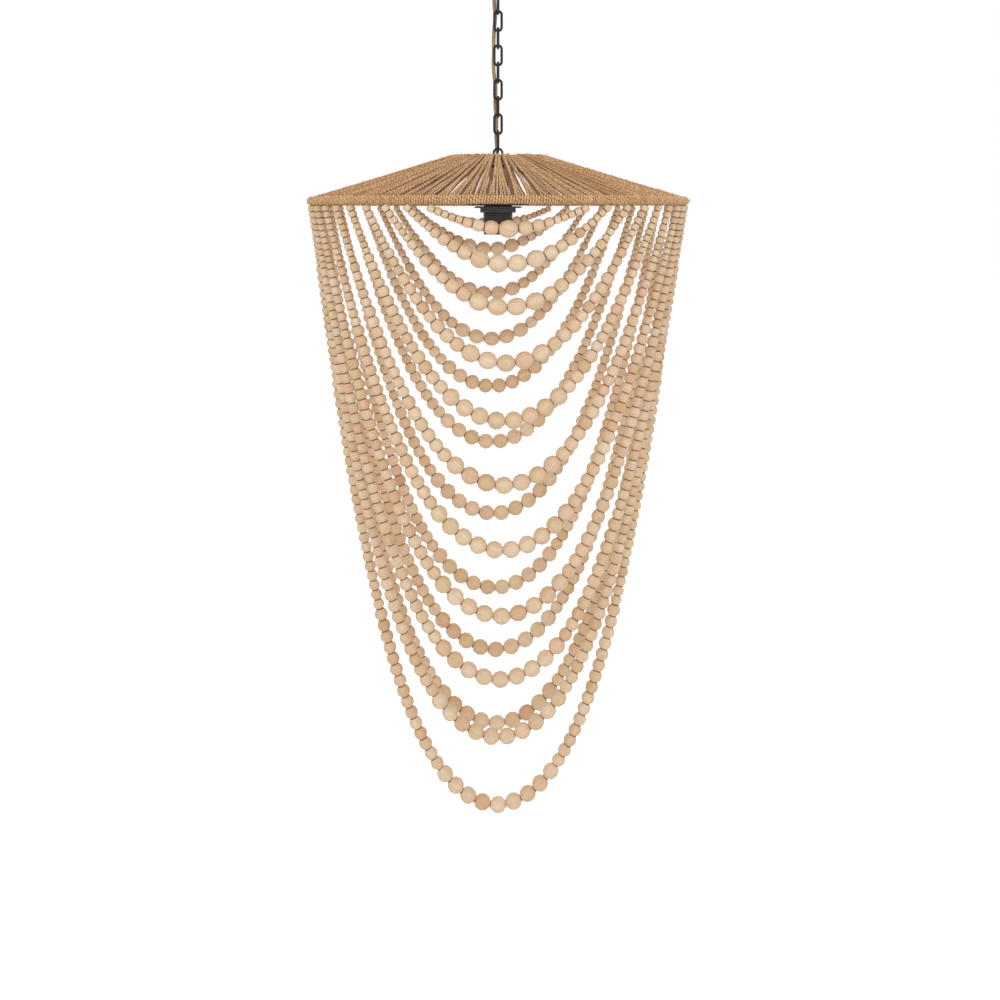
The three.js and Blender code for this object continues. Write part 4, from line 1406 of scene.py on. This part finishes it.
# %% Ribbed ring of the lampholder
ring_low, ring_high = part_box("retaining_ring")
flange_radius = half_width_of("retaining_ring")
flange_bottom = ring_high.z - 2.8 * mm
collar_outside = 28.25 * mm
collar_bore = 24.05 * mm
rib = 0.7 * mm
ring_profile = [
    (collar_bore, ring_low.z + 0.6 * mm), (collar_bore + 0.6 * mm, ring_low.z),
    (collar_outside - 1.2 * mm, ring_low.z), (collar_outside - 0.3 * mm, ring_low.z + 0.7 * mm, rib),
    (collar_outside, ring_low.z + 1.2 * mm, rib), (collar_outside, flange_bottom - 0.6 * mm, rib),
    (collar_outside + 0.6 * mm, flange_bottom), (flange_radius - 0.5 * mm, flange_bottom),
    (flange_radius, flange_bottom + 0.5 * mm), (flange_radius, ring_high.z - 0.5 * mm),
    (flange_radius - 0.5 * mm, ring_high.z), (collar_bore, ring_high.z)]
dress(mesh_piece("ribbed_ring", turned(ring_profile, 192, True), black_plastic), "shade", "retaining_ring")

# %% Brass screw shell
shell_low, shell_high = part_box("screw_shell")
shell_outer = half_width_of("screw_shell")
shell_wall = 0.35 * mm
shell_pitch = 3.6 * mm
shell_wave = 0.2 * mm
shell_steps = 6

shell_height = shell_high.z - shell_low.z
shell_rows = int(shell_height / shell_pitch) * shell_steps
shell_outside = []
for i in range(shell_rows + 1):
    wave = shell_wave * (1 + math.cos(full_turn * i / shell_steps))
    shell_outside.append((shell_outer - wave, shell_low.z + shell_height * i / shell_rows))
shell_inside = [(radius - shell_wall, height) for radius, height in reversed(shell_outside)]
shell_skin = turned(shell_outside + shell_inside, 64, True)
dress(mesh_piece("brass_screw_shell", shell_skin, brass), "shade", "screw_shell")

# %% [markdown]
# ## Light and background
# The lamp is shown on white, in the even light of a photo studio. The world gives most of the light. A
# large soft key lamp, raised in front, casts soft shadows and gives the beads their round look. Two fills
# without shadow, in front and behind, keep the dark side open, and a weak lamp inside lights the strands
# at the back. The background is white only for rays that the camera sees directly, in a reflection or
# through glass, so it adds no light of its own. The floor below keeps the lamp's shadow.


# %% Rays that show the background
def seen_share(tree):
    """1 for a ray that shows the background, 0 for a ray that carries light."""
    path = tree.outputs(tree.node("ShaderNodeLightPath"))
    seen = path["Is Camera Ray"] + path["Is Glossy Ray"] + path["Is Transmission Ray"]
    return tree.maths("MINIMUM", seen, 1.0)


# %% Floor
floor_height = -1.95
floor_reach = 12
floor_glow = 0.42

floor_finish, floor_tree, floor_shader = new_material("pale floor", 0.9)
floor_tree.feed(floor_shader.inputs["Base Color"], (0.82, 0.81, 0.80))
floor_tree.feed(floor_shader.inputs["Emission Color"], white)
floor_tree.feed(floor_shader.inputs["Emission Strength"], seen_share(floor_tree) * floor_glow)
floor = linked("floor", mesh_with("floor", [
    (x * floor_reach, y * floor_reach, floor_height) for x, y in ((-1, -1), (1, -1), (1, 1), (-1, 1))],
    faces=[(0, 1, 2, 3)]))
floor.data.materials.append(floor_finish)
print("The floor is", -floor_height, "m below the ceiling.")

# %% World
world_light = 0.77

world = bpy.data.worlds.new("studio")
world.use_nodes = True
bpy.context.scene.world = world
world_tree = Tree(world.node_tree)
background = world.node_tree.nodes["Background"]
world_tree.feed(background.inputs["Color"], white)
world_tree.feed(background.inputs["Strength"], world_tree.add("ShaderNodeMapRange", {
    "Value": seen_share(world_tree), "To Min": world_light, "To Max": 1.0}))
bpy.context.scene.view_settings.view_transform = "Standard"
print("The world gives", world_light, "of full light and looks white.")

# %% Lamps
# Each lamp's name, its place and target in metres, its width and height, its watts, and its shadow
lamps = [
    ("key_lamp", (-0.3, -2.6, 1.3), (0, 0, -0.3), (2.2, 2.2), 15, True),
    ("front_fill", (-0.1, -3.0, 0.1), (0, 0, -0.5), (2.0, 2.0), 18, False),
    ("back_fill", (0.1, 3.0, 0.1), (0, 0, -0.5), (2.0, 2.0), 18, False),
    ("inner_lamp", (0, -0.04, -0.5), (0, 1, -0.5), (0.46, 0.8), 0.25, False),
]
for name, place, target, size, power, shadow in lamps:
    light = bpy.data.lights.new(name, "AREA")
    light.shape, light.energy, light.use_shadow = "ELLIPSE", power, shadow
    light.size, light.size_y = size
    lamp = linked(name, light)
    lamp.location = place
    lamp.rotation_euler = (Vector(target) - Vector(place)).to_track_quat("-Z", "Y").to_euler()
    lamp.visible_camera = lamp.visible_glossy = False
    print(name, "has", power, "watts.")
